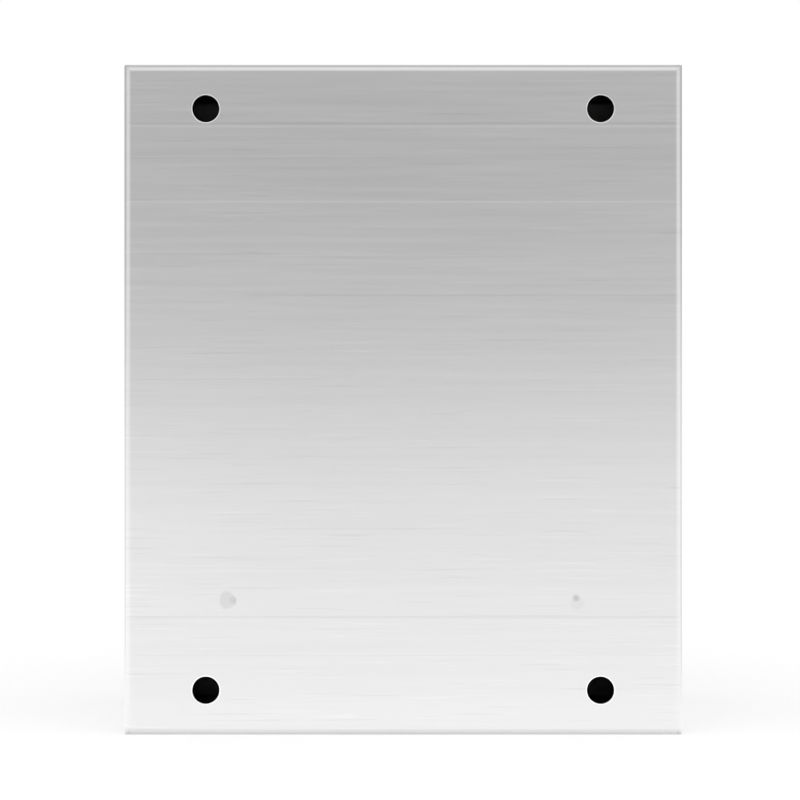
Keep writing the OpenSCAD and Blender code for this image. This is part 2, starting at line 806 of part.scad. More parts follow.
// Quarter-turn lock, drawn unlocked with its cam hanging down

module at_lock(v) at_depth(lock_x, 0, v) children();

// Round barrel with a flat on each side, or the hole for it
module barrel_2d(gap) {
  intersection() {
    circle(lock_barrel_d / 2 + gap);
    square([lock_barrel_d - 2 * lock_barrel_flat + 2 * gap, lock_barrel_d + 2 * over], center = true);
  }
}

module lock_housing() color("darkgray") {
  head_front = lock_head_v + lock_head_t;
  bevel = 1;
  difference() {
    union() {
      at_lock(barrel_v) linear_extrude(height = lock_head_v - barrel_v + bevel) barrel_2d(0);
      at_lock(lock_head_v) cylinder(h = lock_head_t - bevel, d = lock_head_d);
      at_lock(head_front - bevel)
        cylinder(h = bevel, r1 = lock_head_d / 2, r2 = lock_head_d / 2 - bevel);
    }
    at_lock(barrel_v - over)
      cylinder(h = head_front - barrel_v + 2 * over, r = lock_core_d / 2 + run_gap);
    at_lock(head_front - lock_flange_t - side_gap)
      cylinder(h = lock_flange_t + side_gap + over, r = lock_flange_r + run_gap);
  }
}

module lock_seal() color(rubber) at_lock(box_d) difference() {
  cylinder(h = lock_seal_t, d = lock_seal_d);
  translate([0, 0, -over]) cylinder(h = lock_seal_t + 2 * over, r = lock_barrel_d / 2 + hole_gap);
}

module lock_washer() color(zinc) at_lock(door_inner_v - lock_washer_t) difference() {
  cylinder(h = lock_washer_t, d = lock_nut_across);
  translate([0, 0, -over]) cylinder(h = lock_washer_t + 2 * over, r = lock_barrel_d / 2 + hole_gap);
}

module lock_nut() color(zinc) at_lock(door_inner_v - lock_washer_t - lock_nut_t) difference() {
  cylinder(h = lock_nut_t, d = lock_nut_across / cos(30), $fn = 6);
  translate([0, 0, -over]) cylinder(h = lock_nut_t + 2 * over, r = lock_barrel_d / 2 + thread_gap);
}

// Core with a double-bit key pin in its front pocket and a square tail for the cam
module lock_core() color("gray") {
  front = lock_head_v + lock_head_t;
  difference() {
    union() {
      at_lock(barrel_v - side_gap) cylinder(h = front - barrel_v + side_gap, d = lock_core_d);
      at_lock(front - lock_flange_t) cylinder(h = lock_flange_t, r = lock_flange_r);
      at_lock(cam_v + side_gap) translate([-core_square / 2, -core_square / 2, 0])
        cube([core_square, core_square, cam_t]);
    }
    at_lock(front - key_pocket_depth) difference() {
      cylinder(h = key_pocket_depth + over, r = key_pocket_r);
      cylinder(h = key_pocket_depth - over, r = key_pin_r);
      translate([-key_pocket_r, -key_wing / 2, 0])
        cube([2 * key_pocket_r - key_wing, key_wing, key_pocket_depth - over]);
    }
    at_lock(cam_v) cylinder(h = screw_bite + cam_t, r = cam_screw_d / 2 + thread_gap);
  }
}

module lock_cam() color(zinc) at_lock(cam_v) difference() {
  linear_extrude(height = cam_t) {
    circle(cam_w / 2 + 1);
    translate([-cam_w / 2, cam_w / 2 - cam_l]) square([cam_w, cam_l - cam_w / 2]);
    translate([0, cam_w / 2 - cam_l]) circle(cam_w / 2);
  }
  translate([-core_square / 2 - run_gap, -core_square / 2 - run_gap, -over])
    cube([core_square + 2 * run_gap, core_square + 2 * run_gap, cam_t + 2 * over]);
}

module cam_screw() color(zinc) at_lock(cam_v) rotate([180, 0, 0]) {
  washer_h = washer_t(cam_screw_d);
  cylinder(h = washer_h, d = cam_washer_d);
  translate([0, 0, washer_h]) pan_screw(cam_screw_d, washer_h + cam_t + screw_bite - over);
}

body_shell();
plate_studs();
mounting_plate();
plate_washers();
plate_nuts();
din_rail();
rail_screws();
neutral_bar();
neutral_bar_screws();
neutral_bar_supports();
earth_bar();
earth_bar_screws();
earth_bar_supports();
bar_support_screws();
gland_gasket();
gland_plate();
gland_studs();
gland_washers();
gland_nuts();
cable_grommet_left();
cable_grommet_right();
body_earth_stud();
body_earth_washers();
body_earth_nuts();
hinge_frame_bracket_upper();
hinge_frame_bracket_lower();
hinge_pin_upper();
hinge_pin_lower();
hinge_screws();
hinge_nuts();
door_panel();
door_gasket();
hinge_door_bracket_upper();
hinge_door_bracket_lower();
door_earth_stud();
door_earth_washers();
door_earth_nuts();
lock_housing();
lock_seal();
lock_washer();
lock_nut();
lock_core();
lock_cam();
cam_screw();
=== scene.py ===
# %% [markdown]
# A stainless steel distribution box, dressed for a studio picture.
# The real box is folded from brushed sheet and hangs on a wall by four bolts. The picture
# looks straight at its back, so the brushed face and its soft gradient are the main subject.
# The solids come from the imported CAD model, which fixes every size and place. This lesson
# gives them their finishes, and makes again the few pieces whose fine form the solids leave
# out: nuts with chamfered corners, threaded studs and the crowned foam seal of the door.

# %% Load the frame
import json
import math

import bmesh
import bpy
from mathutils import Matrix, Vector

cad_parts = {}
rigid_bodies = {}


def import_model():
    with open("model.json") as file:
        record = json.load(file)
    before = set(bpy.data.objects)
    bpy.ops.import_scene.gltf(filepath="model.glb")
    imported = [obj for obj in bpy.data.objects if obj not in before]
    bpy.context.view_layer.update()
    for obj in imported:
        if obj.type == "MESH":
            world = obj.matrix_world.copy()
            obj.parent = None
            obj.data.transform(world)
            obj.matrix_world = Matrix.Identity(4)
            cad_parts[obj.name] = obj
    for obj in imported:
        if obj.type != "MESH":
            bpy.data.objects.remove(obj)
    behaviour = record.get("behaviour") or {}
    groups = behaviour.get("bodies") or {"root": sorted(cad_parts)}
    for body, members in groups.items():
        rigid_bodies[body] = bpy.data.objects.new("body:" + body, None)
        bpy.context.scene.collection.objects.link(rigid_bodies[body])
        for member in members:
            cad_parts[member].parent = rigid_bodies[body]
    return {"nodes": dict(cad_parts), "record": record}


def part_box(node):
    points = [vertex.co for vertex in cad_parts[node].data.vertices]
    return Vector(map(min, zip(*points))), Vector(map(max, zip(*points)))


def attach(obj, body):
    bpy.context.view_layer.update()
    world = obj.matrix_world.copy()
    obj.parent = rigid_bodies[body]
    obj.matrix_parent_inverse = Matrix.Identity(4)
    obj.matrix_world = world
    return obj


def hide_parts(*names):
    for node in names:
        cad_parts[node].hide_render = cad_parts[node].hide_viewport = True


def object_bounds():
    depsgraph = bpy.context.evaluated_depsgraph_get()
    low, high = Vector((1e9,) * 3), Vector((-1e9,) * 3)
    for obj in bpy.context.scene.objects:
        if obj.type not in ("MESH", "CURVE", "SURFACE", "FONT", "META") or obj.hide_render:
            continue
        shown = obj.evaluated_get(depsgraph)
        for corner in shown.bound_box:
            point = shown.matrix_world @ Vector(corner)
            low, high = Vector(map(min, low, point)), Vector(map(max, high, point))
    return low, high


for leftover in list(bpy.data.objects):
    bpy.data.objects.remove(leftover)
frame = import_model()
cad_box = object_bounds()
MM = 0.001


def in_mm(box):
    """The two corners of a box, rounded for printing."""
    return [[round(part / MM, 1) for part in corner] for corner in box]


print("nodes", len(frame["nodes"]), "CAD box in mm", in_mm(cad_box))

# %% [markdown]
# The camera stands square to the back, on the side of the wall, at the height of the middle
# of the box. A long lens from a little over a metre shows the back alone, with the four sides
# hidden behind it. The box is a few pixels off the middle of the picture. A lens shift could
# do that too, but moving the camera sideways by as much is simpler.

# %% Camera
CAMERA_DISTANCE = 1.1
PICTURE_SPAN = 0.3577      # what the frame takes in at the back plane
PICTURE_CENTRE = (0.00143, -0.00025)
SENSOR = 36


def placed(name, data):
    """A new object in the scene, at the origin."""
    thing = bpy.data.objects.new(name, data)
    bpy.context.scene.collection.objects.link(thing)
    return thing


camera_data = bpy.data.cameras.new("camera")
camera_data.sensor_width = SENSOR
camera_data.lens = SENSOR * CAMERA_DISTANCE / PICTURE_SPAN
camera = placed("camera", camera_data)
camera.location = (PICTURE_CENTRE[0], CAMERA_DISTANCE, PICTURE_CENTRE[1])
camera.rotation_euler = (math.pi / 2, 0, math.pi)
bpy.context.scene.camera = camera
bpy.context.scene.view_settings.view_transform = "Standard"
print("lens", round(camera_data.lens, 1), "mm")

# %% [markdown]
# Helpers for shader nodes. A finish is easier to read as a sum than as a heap of nodes, so a
# few short functions make one node each and hand back its output. A number may stand wherever
# another node's output may.

# %% Helpers for numbers
def feed(tree, socket, value):
    """Links an output to a socket, or sets a plain value on it."""
    if isinstance(value, bpy.types.NodeSocket):
        tree.links.new(value, socket)
    else:
        socket.default_value = value


def calc(tree, operation, *values):
    """One Math node."""
    node = tree.nodes.new("ShaderNodeMath")
    node.operation = operation
    for socket, value in zip(node.inputs, values):
        feed(tree, socket, value)
    return node.outputs[0]


def ease(tree, value, start, end, low=0.0, high=1.0):
    """Goes smoothly from low at start to high at end."""
    node = tree.nodes.new("ShaderNodeMapRange")
    node.interpolation_type = "SMOOTHSTEP"
    ends = {"From Min": start, "From Max": end, "To Min": low, "To Max": high}
    for name, number in ends.items():
        node.inputs[name].default_value = number
    feed(tree, node.inputs["Value"], value)
    return node.outputs["Result"]


def mixed(tree, factor, first, second):
    """A mix of two numbers."""
    node = tree.nodes.new("ShaderNodeMix")
    for place, value in ((0, factor), (2, first), (3, second)):
        feed(tree, node.inputs[place], value)
    return node.outputs[0]


def vector_calc(tree, operation, first, second):
    """One Vector Math node."""
    node = tree.nodes.new("ShaderNodeVectorMath")
    node.operation = operation
    feed(tree, node.inputs[0], first)
    feed(tree, node.inputs[1], second)
    return node.outputs


def vector_of(tree, x, y, z):
    """Three numbers made one vector."""
    node = tree.nodes.new("ShaderNodeCombineXYZ")
    for socket, value in zip(node.inputs, (x, y, z)):
        feed(tree, socket, value)
    return node.outputs[0]


def parts_of(tree, vector):
    """The three numbers of a vector."""
    node = tree.nodes.new("ShaderNodeSeparateXYZ")
    tree.links.new(vector, node.inputs[0])
    return node.outputs


def beyond(tree, value, limit):
    """How far a number is past a limit, on either side of zero."""
    return calc(tree, "SUBTRACT", calc(tree, "ABSOLUTE", value), limit)


def distance(tree, first, second):
    """The length of a step made of two steps at right angles."""
    squares = [calc(tree, "MULTIPLY", part, part) for part in (first, second)]
    return calc(tree, "SQRT", calc(tree, "ADD", *squares))


print("numbers ready")

# %% Helpers for patterns
def noise(tree, vector, scale=1.0, detail=2.0):
    """A noise from 0 to 1, about 0.5 on average."""
    node = tree.nodes.new("ShaderNodeTexNoise")
    tree.links.new(vector, node.inputs["Vector"])
    node.inputs["Scale"].default_value = scale
    node.inputs["Detail"].default_value = detail
    return node.outputs["Fac"]


def cells(tree, vector, scale):
    """A pattern of cells."""
    node = tree.nodes.new("ShaderNodeTexVoronoi")
    tree.links.new(vector, node.inputs["Vector"])
    node.inputs["Scale"].default_value = scale
    return node.outputs


def clouds(tree, place, scale, detail=2.0):
    """A noise on the piece's own coordinates."""
    return noise(tree, place["Object"], scale, detail)


def varied(tree, base, *terms):
    """base plus each term's strength times how far its pattern is from 0.5."""
    total = base
    for pattern, strength in terms:
        swing = calc(tree, "MULTIPLY_ADD", pattern, strength, -0.5 * strength)
        total = calc(tree, "ADD", total, swing)
    return total


def swung(tree, rough, *rows):
    """Tone and roughness. A row is a pattern, and how far it swings the one and the other."""
    tone = varied(tree, 1.0, *[(row[0], row[1]) for row in rows])
    return tone, varied(tree, rough, *[(row[0], row[2]) for row in rows])


print("patterns ready")

# %% Helpers for finishes
def shaded(tree, colour, factor):
    """A colour times a factor."""
    node = tree.nodes.new("ShaderNodeVectorMath")
    node.operation = "SCALE"
    node.inputs[0].default_value = colour
    feed(tree, node.inputs["Scale"], factor)
    return node.outputs[0]


def blended(tree, factor, first, second):
    """A mix of two colours."""
    node = tree.nodes.new("ShaderNodeMix")
    node.data_type = "RGBA"
    feed(tree, node.inputs[0], factor)
    for socket, colour in ((node.inputs[6], first), (node.inputs[7], second)):
        linked = isinstance(colour, bpy.types.NodeSocket)
        feed(tree, socket, colour if linked else (*colour, 1))
    return node.outputs[2]


def paint(tree, shader, colour, rough, height=None, depth=0.0):
    """Gives a shader its colour and roughness, and a relief of height times depth, in metres."""
    tree.links.new(colour, shader.inputs["Base Color"])
    tree.links.new(rough, shader.inputs["Roughness"])
    if depth:
        node = tree.nodes.new("ShaderNodeBump")
        node.inputs["Distance"].default_value = depth
        tree.links.new(height, node.inputs["Height"])
        tree.links.new(node.outputs[0], shader.inputs["Normal"])


def bare_tree(name):
    """A new material, its empty tree, and the socket for what it shows."""
    finish = bpy.data.materials.new(name)
    finish.use_nodes = True
    tree = finish.node_tree
    tree.nodes.clear()
    return finish, tree, tree.nodes.new("ShaderNodeOutputMaterial").inputs[0]


def new_finish(name, metallic=0.0, anisotropic=0.0, specular=0.5):
    """A material with one Principled shader, and the object coordinates of the piece."""
    finish, tree, shown = bare_tree(name)
    shader = tree.nodes.new("ShaderNodeBsdfPrincipled")
    shader.inputs["Metallic"].default_value = metallic
    shader.inputs["Anisotropic"].default_value = anisotropic
    shader.inputs["Specular IOR Level"].default_value = specular
    tree.links.new(shader.outputs[0], shown)
    return finish, tree, shader, tree.nodes.new("ShaderNodeTexCoord").outputs


print("finishes ready")

# %% [markdown]
# The studio. The picture is on plain white, so the world and the floor are white to the camera,
# and give a plain level of soft light to everything else.

# %% World
WORLD_FILL = 0.5


def shown_to_eye(tree):
    """1 for camera, mirror and see-through rays, 0 for rays that only carry light."""
    path = tree.nodes.new("ShaderNodeLightPath")
    seen = calc(tree, "MAXIMUM", path.outputs["Is Camera Ray"], path.outputs["Is Glossy Ray"])
    return calc(tree, "MAXIMUM", seen, path.outputs["Is Transmission Ray"])


world = bpy.data.worlds.new("studio")
bpy.context.scene.world = world
world.use_nodes = True
tree = world.node_tree
backdrop = tree.nodes["Background"]
backdrop.inputs["Color"].default_value = (1, 1, 1, 1)
level = calc(tree, "MULTIPLY_ADD", shown_to_eye(tree), 1 - WORLD_FILL, WORLD_FILL)
tree.links.new(level, backdrop.inputs["Strength"])
print("world fill", WORLD_FILL)

# %% [markdown]
# The floor's own colour stays pale: it only glows as much as it lacks to be white, so it keeps
# the soft shadow beside the box. Metal doesn't see it as one even white. Its glow to mirror rays
# is painted: bright for a ray that comes in low, or that meets it close to the box's foot, and
# grey for one that comes from above. It is less bright behind the box and under it, and a
# little brighter on the left of the picture. That gives the back its change from grey to nearly
# white, and keeps the metal from looking like white paint when the box is seen from higher up.

# %% Floor
FLOOR_TONE = 0.7
FLOOR_GLOW = 0.44
FLOOR_SIZE = 24
FLOOR_DROP = 0.0001        # the gap under the box
MIRRORED_STEEP = -0.38     # metal sees the floor this much darker where it looks down on it
MIRRORED_LOW = 0.385       # and this much brighter where it looks along it
MIRRORED_BEHIND = 0.02     # or only this much on the far side of the box
MIRRORED_LEFT = 0.1        # and more by this on the side that is left in the picture
BEHIND_REACH = (0.0, -0.3)  # from where to where the last two set in
LEFT_REACH = (0.1, 0.35)
LOW_RAYS = (0.69, 0.87)    # one less the sine of the angles between which a ray becomes low
FOOT_STRIP = (0.25, 0.03)  # distances from the box over which any ray becomes like a low one
FOOT_SHARE = 0.9           # how much like one
UNDER_BOX = (0.008, -0.003)  # distances from the box between which its underside begins
UNDER_SHARE = 0.68         # what is left of that there

floor_paint, tree, shown = bare_tree("floor_paint")
matt = tree.nodes.new("ShaderNodeBsdfDiffuse")
matt.inputs["Color"].default_value = (FLOOR_TONE, FLOOR_TONE, FLOOR_TONE, 1)
mirrored = tree.nodes.new("ShaderNodeLightPath").outputs["Is Glossy Ray"]
low = ease(tree, tree.nodes.new("ShaderNodeLayerWeight").outputs["Facing"], *LOW_RAYS)
x, y, z = parts_of(tree, tree.nodes.new("ShaderNodeTexCoord").outputs["Object"])
towards = calc(tree, "SUBTRACT", y, cad_box[1].y)
astern = calc(tree, "SUBTRACT", cad_box[0].y, y)
gap = calc(tree, "MAXIMUM", beyond(tree, x, cad_box[1].x), calc(tree, "MAXIMUM", towards, astern))
near = ease(tree, gap, *FOOT_STRIP, 0.0, FOOT_SHARE)
foot = calc(tree, "MULTIPLY", near, ease(tree, gap, *UNDER_BOX, 1.0, UNDER_SHARE))
brighter = ease(tree, y, *BEHIND_REACH, MIRRORED_LOW, MIRRORED_BEHIND)
brighter = calc(tree, "ADD", brighter, ease(tree, x, *LEFT_REACH, 0.0, MIRRORED_LEFT))
# painted reflection: the glow that mirror rays see is set by their angle and by where they meet the
# floor
change = mixed(tree, calc(tree, "MAXIMUM", low, foot), MIRRORED_STEEP, brighter)
glow_level = calc(tree, "MULTIPLY_ADD", change, mirrored, FLOOR_GLOW)
glow = tree.nodes.new("ShaderNodeEmission")
tree.links.new(calc(tree, "MULTIPLY", shown_to_eye(tree), glow_level), glow.inputs["Strength"])
both = tree.nodes.new("ShaderNodeAddShader")
tree.links.new(matt.outputs[0], both.inputs[0])
tree.links.new(glow.outputs[0], both.inputs[1])
tree.links.new(both.outputs[0], shown)

reach, ground = FLOOR_SIZE / 2, cad_box[0].z - FLOOR_DROP
corners = [(-reach, -reach), (reach, -reach), (reach, reach), (-reach, reach)]
floor_mesh = bpy.data.meshes.new("floor")
floor_mesh.from_pydata([(*corner, ground) for corner in corners], [], [(0, 1, 2, 3)])
floor_mesh.materials.append(floor_paint)
placed("floor", floor_mesh)
print("floor at", round(ground / MM, 2), "mm")

# %% [markdown]
# A wide sun lamp overhead lights the floor evenly to its far edge and leaves a soft shadow.
# Bright metal would mirror the lamp as a glaring disc, so mirror rays don't see it.

# %% Lamp
SUN_STRENGTH = 1.1
SUN_SPREAD = math.radians(80)
SUN_TILT = math.radians(-22)  # towards the camera

sun_data = bpy.data.lights.new("overhead", "SUN")
sun_data.energy = SUN_STRENGTH
sun_data.angle = SUN_SPREAD
sun = placed("overhead", sun_data)
sun.rotation_euler = (SUN_TILT, 0, 0)
sun.visible_glossy = False
print("sun strength", sun_data.energy)

# %% [markdown]
# Brushed metal shows what stands before it, drawn out across the brushing. The back in the
# picture is grey above and nearly white below, with a slow change between, and its bends have a
# bright line along them and a dark one at the very edge. That is what a light tent gives: a
# white ground, a grey cloth straight ahead that gets brighter to the sides and on the way up,
# and darker cloth at the very top and behind. Flat boards could stand for it, but their edges
# would show in the bends. So the tent is a sphere whose tone follows its direction, and only
# mirror rays see it.

# %% Light tent
TENT_RADIUS = 2.5
TENT_SIDES = (64, 32)
TENT_AHEAD = 0.54          # tone straight in front of the back
TENT_CHANGES = (           # what is added to it along a direction, from where to where
    ("aside", 0.1, 0.9, 0.44), ("ahead", 0.55, -0.45, -0.38),
    ("up", 0.15, 0.4, 0.19), ("up", 0.9, 1.0, -0.17))
TENT_FOOT = (-0.22, 0.18)  # heights between which the bright ground goes over into the cloth
TENT_LIFT = (0.7, 0.2, 0.0, 0.1)  # how much higher the ground reaches at the sides and behind
TENT_TILT = 0.02           # and from one side to the other
TENT_GROUND = (0.2, -0.7, 1 + MIRRORED_LOW, 1 + MIRRORED_BEHIND)  # its tone, ahead and behind

tent_cloth, tree, shown = bare_tree("tent_cloth")
x, y, z = parts_of(tree, tree.nodes.new("ShaderNodeTexCoord").outputs["Object"])
ahead, up = [calc(tree, "DIVIDE", part, TENT_RADIUS) for part in (y, z)]
front = calc(tree, "MAXIMUM", ahead, 0.0)
aside = calc(tree, "SQRT", calc(tree, "SUBTRACT", 1.0, calc(tree, "MULTIPLY", front, front)))
directions = {"ahead": ahead, "up": up, "aside": aside}
tone = TENT_AHEAD
for direction, start, end, change in TENT_CHANGES:
    tone = calc(tree, "ADD", tone, ease(tree, directions[direction], start, end, 0.0, change))
height = calc(tree, "MULTIPLY_ADD", x, TENT_TILT, z)
height = calc(tree, "SUBTRACT", height, ease(tree, ahead, *TENT_LIFT))
below = ease(tree, ahead, *TENT_GROUND)
below = calc(tree, "ADD", below, ease(tree, x, *LEFT_REACH, 0.0, MIRRORED_LEFT))
tone = mixed(tree, ease(tree, height, *TENT_FOOT), below, tone)
glow = tree.nodes.new("ShaderNodeEmission")
tree.links.new(tone, glow.inputs["Strength"])
tree.links.new(glow.outputs[0], shown)

ball = bmesh.new()
bmesh.ops.create_uvsphere(
    ball, u_segments=TENT_SIDES[0], v_segments=TENT_SIDES[1], radius=TENT_RADIUS)
tent_mesh = bpy.data.meshes.new("tent")
ball.to_mesh(tent_mesh)
ball.free()
tent_mesh.materials.append(tent_cloth)
tent = placed("tent", tent_mesh)
tent.visible_camera = tent.visible_diffuse = False
tent.visible_shadow = tent.visible_transmission = False
print("tent radius", TENT_RADIUS, "m")

# %% [markdown]
# Brushed stainless sheet is the finish of the body and the door. The brushing belt draws fine
# parallel scratches along the sheet before it is folded, so the grain runs level over the back
# and round the sides, and from left to right on the top and bottom. A picture of scratches
# could be wrapped round the box, but a noise stretched along the grain needs no unwrapping and
# stays sharp close up. A mask from the normal turns the grain on the top and bottom.

# %% Grain
TOP_FACE = 0.7             # a normal steeper than this belongs to the top or bottom


def grain_axes(tree, place):
    """Distances along and across the grain, and the mask of the top and bottom."""
    x, y, z = parts_of(tree, place["Object"])
    steepness = calc(tree, "ABSOLUTE", parts_of(tree, place["Normal"])[2])
    level = calc(tree, "GREATER_THAN", steepness, TOP_FACE)
    upright = calc(tree, "SUBTRACT", 1.0, level)
    along = calc(tree, "ADD", x, calc(tree, "MULTIPLY", y, upright))
    across = calc(tree, "SUBTRACT", z, calc(tree, "MULTIPLY", y, level))
    return along, across, level


def streaks(tree, along, across, length, width, lane):
    """A noise drawn out along the grain. Each lane number gives another pattern."""
    far, wide = calc(tree, "DIVIDE", along, length), calc(tree, "DIVIDE", across, width)
    return noise(tree, vector_of(tree, far, wide, lane))


def turn_gloss(tree, shader, level):
    """Blurs mirror images across the grain: upwards on the walls, in depth on top and bottom."""
    node = tree.nodes.new("ShaderNodeVectorTransform")
    node.vector_type, node.convert_from, node.convert_to = "VECTOR", "OBJECT", "WORLD"
    across = vector_of(tree, 0.0, level, calc(tree, "SUBTRACT", 1.0, level))
    tree.links.new(across, node.inputs[0])
    tree.links.new(node.outputs[0], shader.inputs["Tangent"])


print("grain turns at", TOP_FACE)

# %% [markdown]
# A folded sheet isn't the same all over. Its corners are welded and ground, which leaves a dull
# line along each seam. And only its outside is brushed: the inside keeps the dull, even finish
# of the rolling mill, and its tone is set darker still, painted shade for the dim inside of the
# box. An inner face is one that looks towards the middle of the box.

# %% Seams and inside of a folded sheet
SEAM_REACH = (0.0035, 0.00175)  # distances from the corner between which the seam begins
SEAM_TONE = -0.05
SEAM_DULLNESS = 0.08
# the inside's tone is partly its mill finish and partly painted shade of the dim inside of the box
MILL_AND_SHADE_TONE = 0.6            # the unbrushed inside against the brushed outside
MILL_ROUGHNESS = 0.36
MILL_NOISE = 1400
MILL_SWINGS = (0.06, 0.08)  # of tone and roughness, by the mill's fine grain
MILL_CLOUDS = (0.1, 0.1)    # and by slow clouds


def inside_of(tree, place):
    """1 on the faces that look towards the middle of the box, 0 on the outer ones."""
    middle = (cad_box[0] + cad_box[1]) / 2
    from_middle = vector_calc(tree, "SUBTRACT", place["Object"], middle)[0]
    outwards = vector_calc(tree, "DOT_PRODUCT", from_middle, place["Normal"])["Value"]
    return calc(tree, "LESS_THAN", outwards, 0.0)


def folded_sheet(tree, place, halves, cloud, tone, rough):
    """Adds the seams, and the inside, to tone and roughness. halves are half width and height."""
    x, y, z = parts_of(tree, place["Object"])
    gaps = [calc(tree, "SUBTRACT", half, calc(tree, "ABSOLUTE", part))
            for half, part in zip(halves, (x, z))]
    seam = ease(tree, calc(tree, "MAXIMUM", *gaps), *SEAM_REACH)
    tone = calc(tree, "MULTIPLY_ADD", seam, SEAM_TONE, tone)
    rough = calc(tree, "MULTIPLY_ADD", seam, SEAM_DULLNESS, rough)
    mill = clouds(tree, place, MILL_NOISE)
    inside = inside_of(tree, place)
    # the darker inner tone is partly painted shade of the box's dim inside
    inner = [varied(tree, base, (mill, fine), (cloud, slow)) for base, fine, slow in zip(
        (MILL_AND_SHADE_TONE, MILL_ROUGHNESS), MILL_SWINGS, MILL_CLOUDS)]
    return [mixed(tree, inside, outer, own) for outer, own in zip((tone, rough), inner)]


print("inside tone", MILL_AND_SHADE_TONE, "of the outside's")

# %% [markdown]
# Some streaks of the brushing run the whole width, others are short dashes, so noises of
# several lengths are added up, with sparse single scratches where one more noise is far from
# its mean. They change tone, roughness and relief, and anisotropy blurs mirror images across
# them.

# %% Brushed sheet
STAINLESS_TONE = (0.68, 0.68, 0.68)
SHEET_ROUGHNESS = 0.2
SHEET_ANISOTROPY = 0.6
# length and width of the streaks in metres, the lane of their noise, and their strength
BELT_STREAKS = (0.7, 0.003, 1.3, 0.05)
BAND_STREAKS = (0.08, 0.0028, 4.7, 0.036)
HAIR_STREAKS = (0.018, 0.00022, 11.9, 0.016)
CLOUD_STREAKS = (0.3, 0.03, 15.2, 0.02)
BAND_DULLNESS = 0.05       # how far the bands and the clouds swing the roughness
CLOUD_DULLNESS = 0.04
SCRATCHES = (0.05, 0.001, 8.1)
SCRATCH_RARITY = (0.13, 0.2)  # how far from its mean the noise must be for a scratch
DARK_SCRATCH = -0.05
BRIGHT_SCRATCH = 0.04
SCRATCH_DEPTH = 3e-6


def brushed_sheet(name, folded=None, marks=None):
    """Brushed stainless. A folded sheet gives its half width and half height, and gets seams
    and an unbrushed inside, darkened with painted shade. marks adds to tone and roughness."""
    finish, tree, shader, place = new_finish(name, metallic=1.0, anisotropic=SHEET_ANISOTROPY)
    along, across, level = grain_axes(tree, place)
    belt, band, hair, cloud = [
        (streaks(tree, along, across, *row[:3]), row[3])
        for row in (BELT_STREAKS, BAND_STREAKS, HAIR_STREAKS, CLOUD_STREAKS)]
    tone = varied(tree, 1.0, belt, band, hair, cloud)
    rough = varied(tree, SHEET_ROUGHNESS, (band[0], BAND_DULLNESS), (cloud[0], CLOUD_DULLNESS))
    wander = calc(tree, "SUBTRACT", streaks(tree, along, across, *SCRATCHES), 0.5)
    for side, change in ((1, DARK_SCRATCH), (-1, BRIGHT_SCRATCH)):
        scratch = ease(tree, calc(tree, "MULTIPLY", wander, side), *SCRATCH_RARITY)
        tone = calc(tree, "MULTIPLY_ADD", scratch, change, tone)
    if marks:
        tone, rough = marks(tree, place, tone, rough)
    if folded:
        tone, rough = folded_sheet(tree, place, folded, cloud[0], tone, rough)
    height = varied(tree, 0.5, (band[0], 1.0), (hair[0], 1.0))
    paint(tree, shader, shaded(tree, STAINLESS_TONE, tone), rough, height, SCRATCH_DEPTH)
    turn_gloss(tree, shader, level)
    return finish


print("bands", BAND_STREAKS[1] / MM, "mm wide and", BAND_STREAKS[0] / MM, "mm long")

# %% [markdown]
# The back carries a few marks of its own: level lines where passes of the brushing belt
# overlapped, and two dull spots where the lower plate studs are welded on behind. Real
# discolouration has no clean edge, so a noise pushes the edge of each spot in and out. The
# punch leaves a burnished, glossier rim round each wall hole, and its tone is raised there as a
# painted highlight. The marks lie on the back plane only, and a mask on the depth keeps them
# off the other walls.

# %% Marks on the back
BACK_DEPTH = 0.4           # all lengths in this cell are in mm
BELT_LINES = (  # height, half width, change of tone, and the reach from one side to the other
    (123.5, 0.8, -0.08, -130, 130), (122.1, 0.5, 0.08, -130, 130), (108.6, 0.35, 0.05, 0, 130),
    (108.1, 0.35, -0.06, 0, 130), (88.4, 0.55, 0.085, -130, 130), (65.1, 0.35, -0.05, 30, 130),
    (46.6, 0.55, -0.065, -130, 75), (9.0, 0.5, -0.05, 30, 130), (-57.9, 0.4, -0.045, -15, 66),
    (-97.3, 0.85, -0.07, -130, 130), (-114.4, 0.4, -0.035, -130, 130))
LINE_CORE = 0.3            # the part of the half width that has the whole change
LINE_END = 12              # how far a line takes to fade out
LINE_NOISE = (14, 1)       # scale and detail
LINE_FADING = (0.2, 0.5, 0.6, 1.0)  # where that noise is low, a line is fainter
WELD_SPOTS = (  # place, radius and change of tone
    (78.7, -89.7, 3.8, -0.065), (76.1, -89.7, 1.4, -0.075), (76.3, -89.6, 0.5, 0.05),
    (-77.7, -90.6, 3.2, -0.03), (-77.3, -88.8, 1.3, -0.15))
SPOT_DULLNESS = -0.4       # change of roughness against change of tone
SPOT_NOISE = (420, 3)
SPOT_RAGGEDNESS = 0.8      # how far it pushes the edge, in radii
SPOT_EDGE = 0.7
BURNISHED_AND_HIGHLIGHT_RIM = 0.7
RIM_CORE = 0.6             # the part of its width that has the whole change
# painted highlight: the ring's tone is raised as if the punched edge caught the light
RIM_HIGHLIGHT_TONE = 0.42
RIM_GLOSS = -0.06
wall_holes = next(m for m in frame["record"]["mounts"] if m["name"] == "wall_holes")["dims"]


def belt_line(tree, x, z, fading, height, half, start, end):
    """A level line that fades at its ends."""
    off = calc(tree, "ABSOLUTE", calc(tree, "SUBTRACT", z, height))
    line = calc(tree, "MULTIPLY", ease(tree, off, half, LINE_CORE * half), fading)
    for edge, inner in ((start, start + LINE_END), (end, end - LINE_END)):
        line = calc(tree, "MULTIPLY", line, ease(tree, x, edge, inner))
    return line


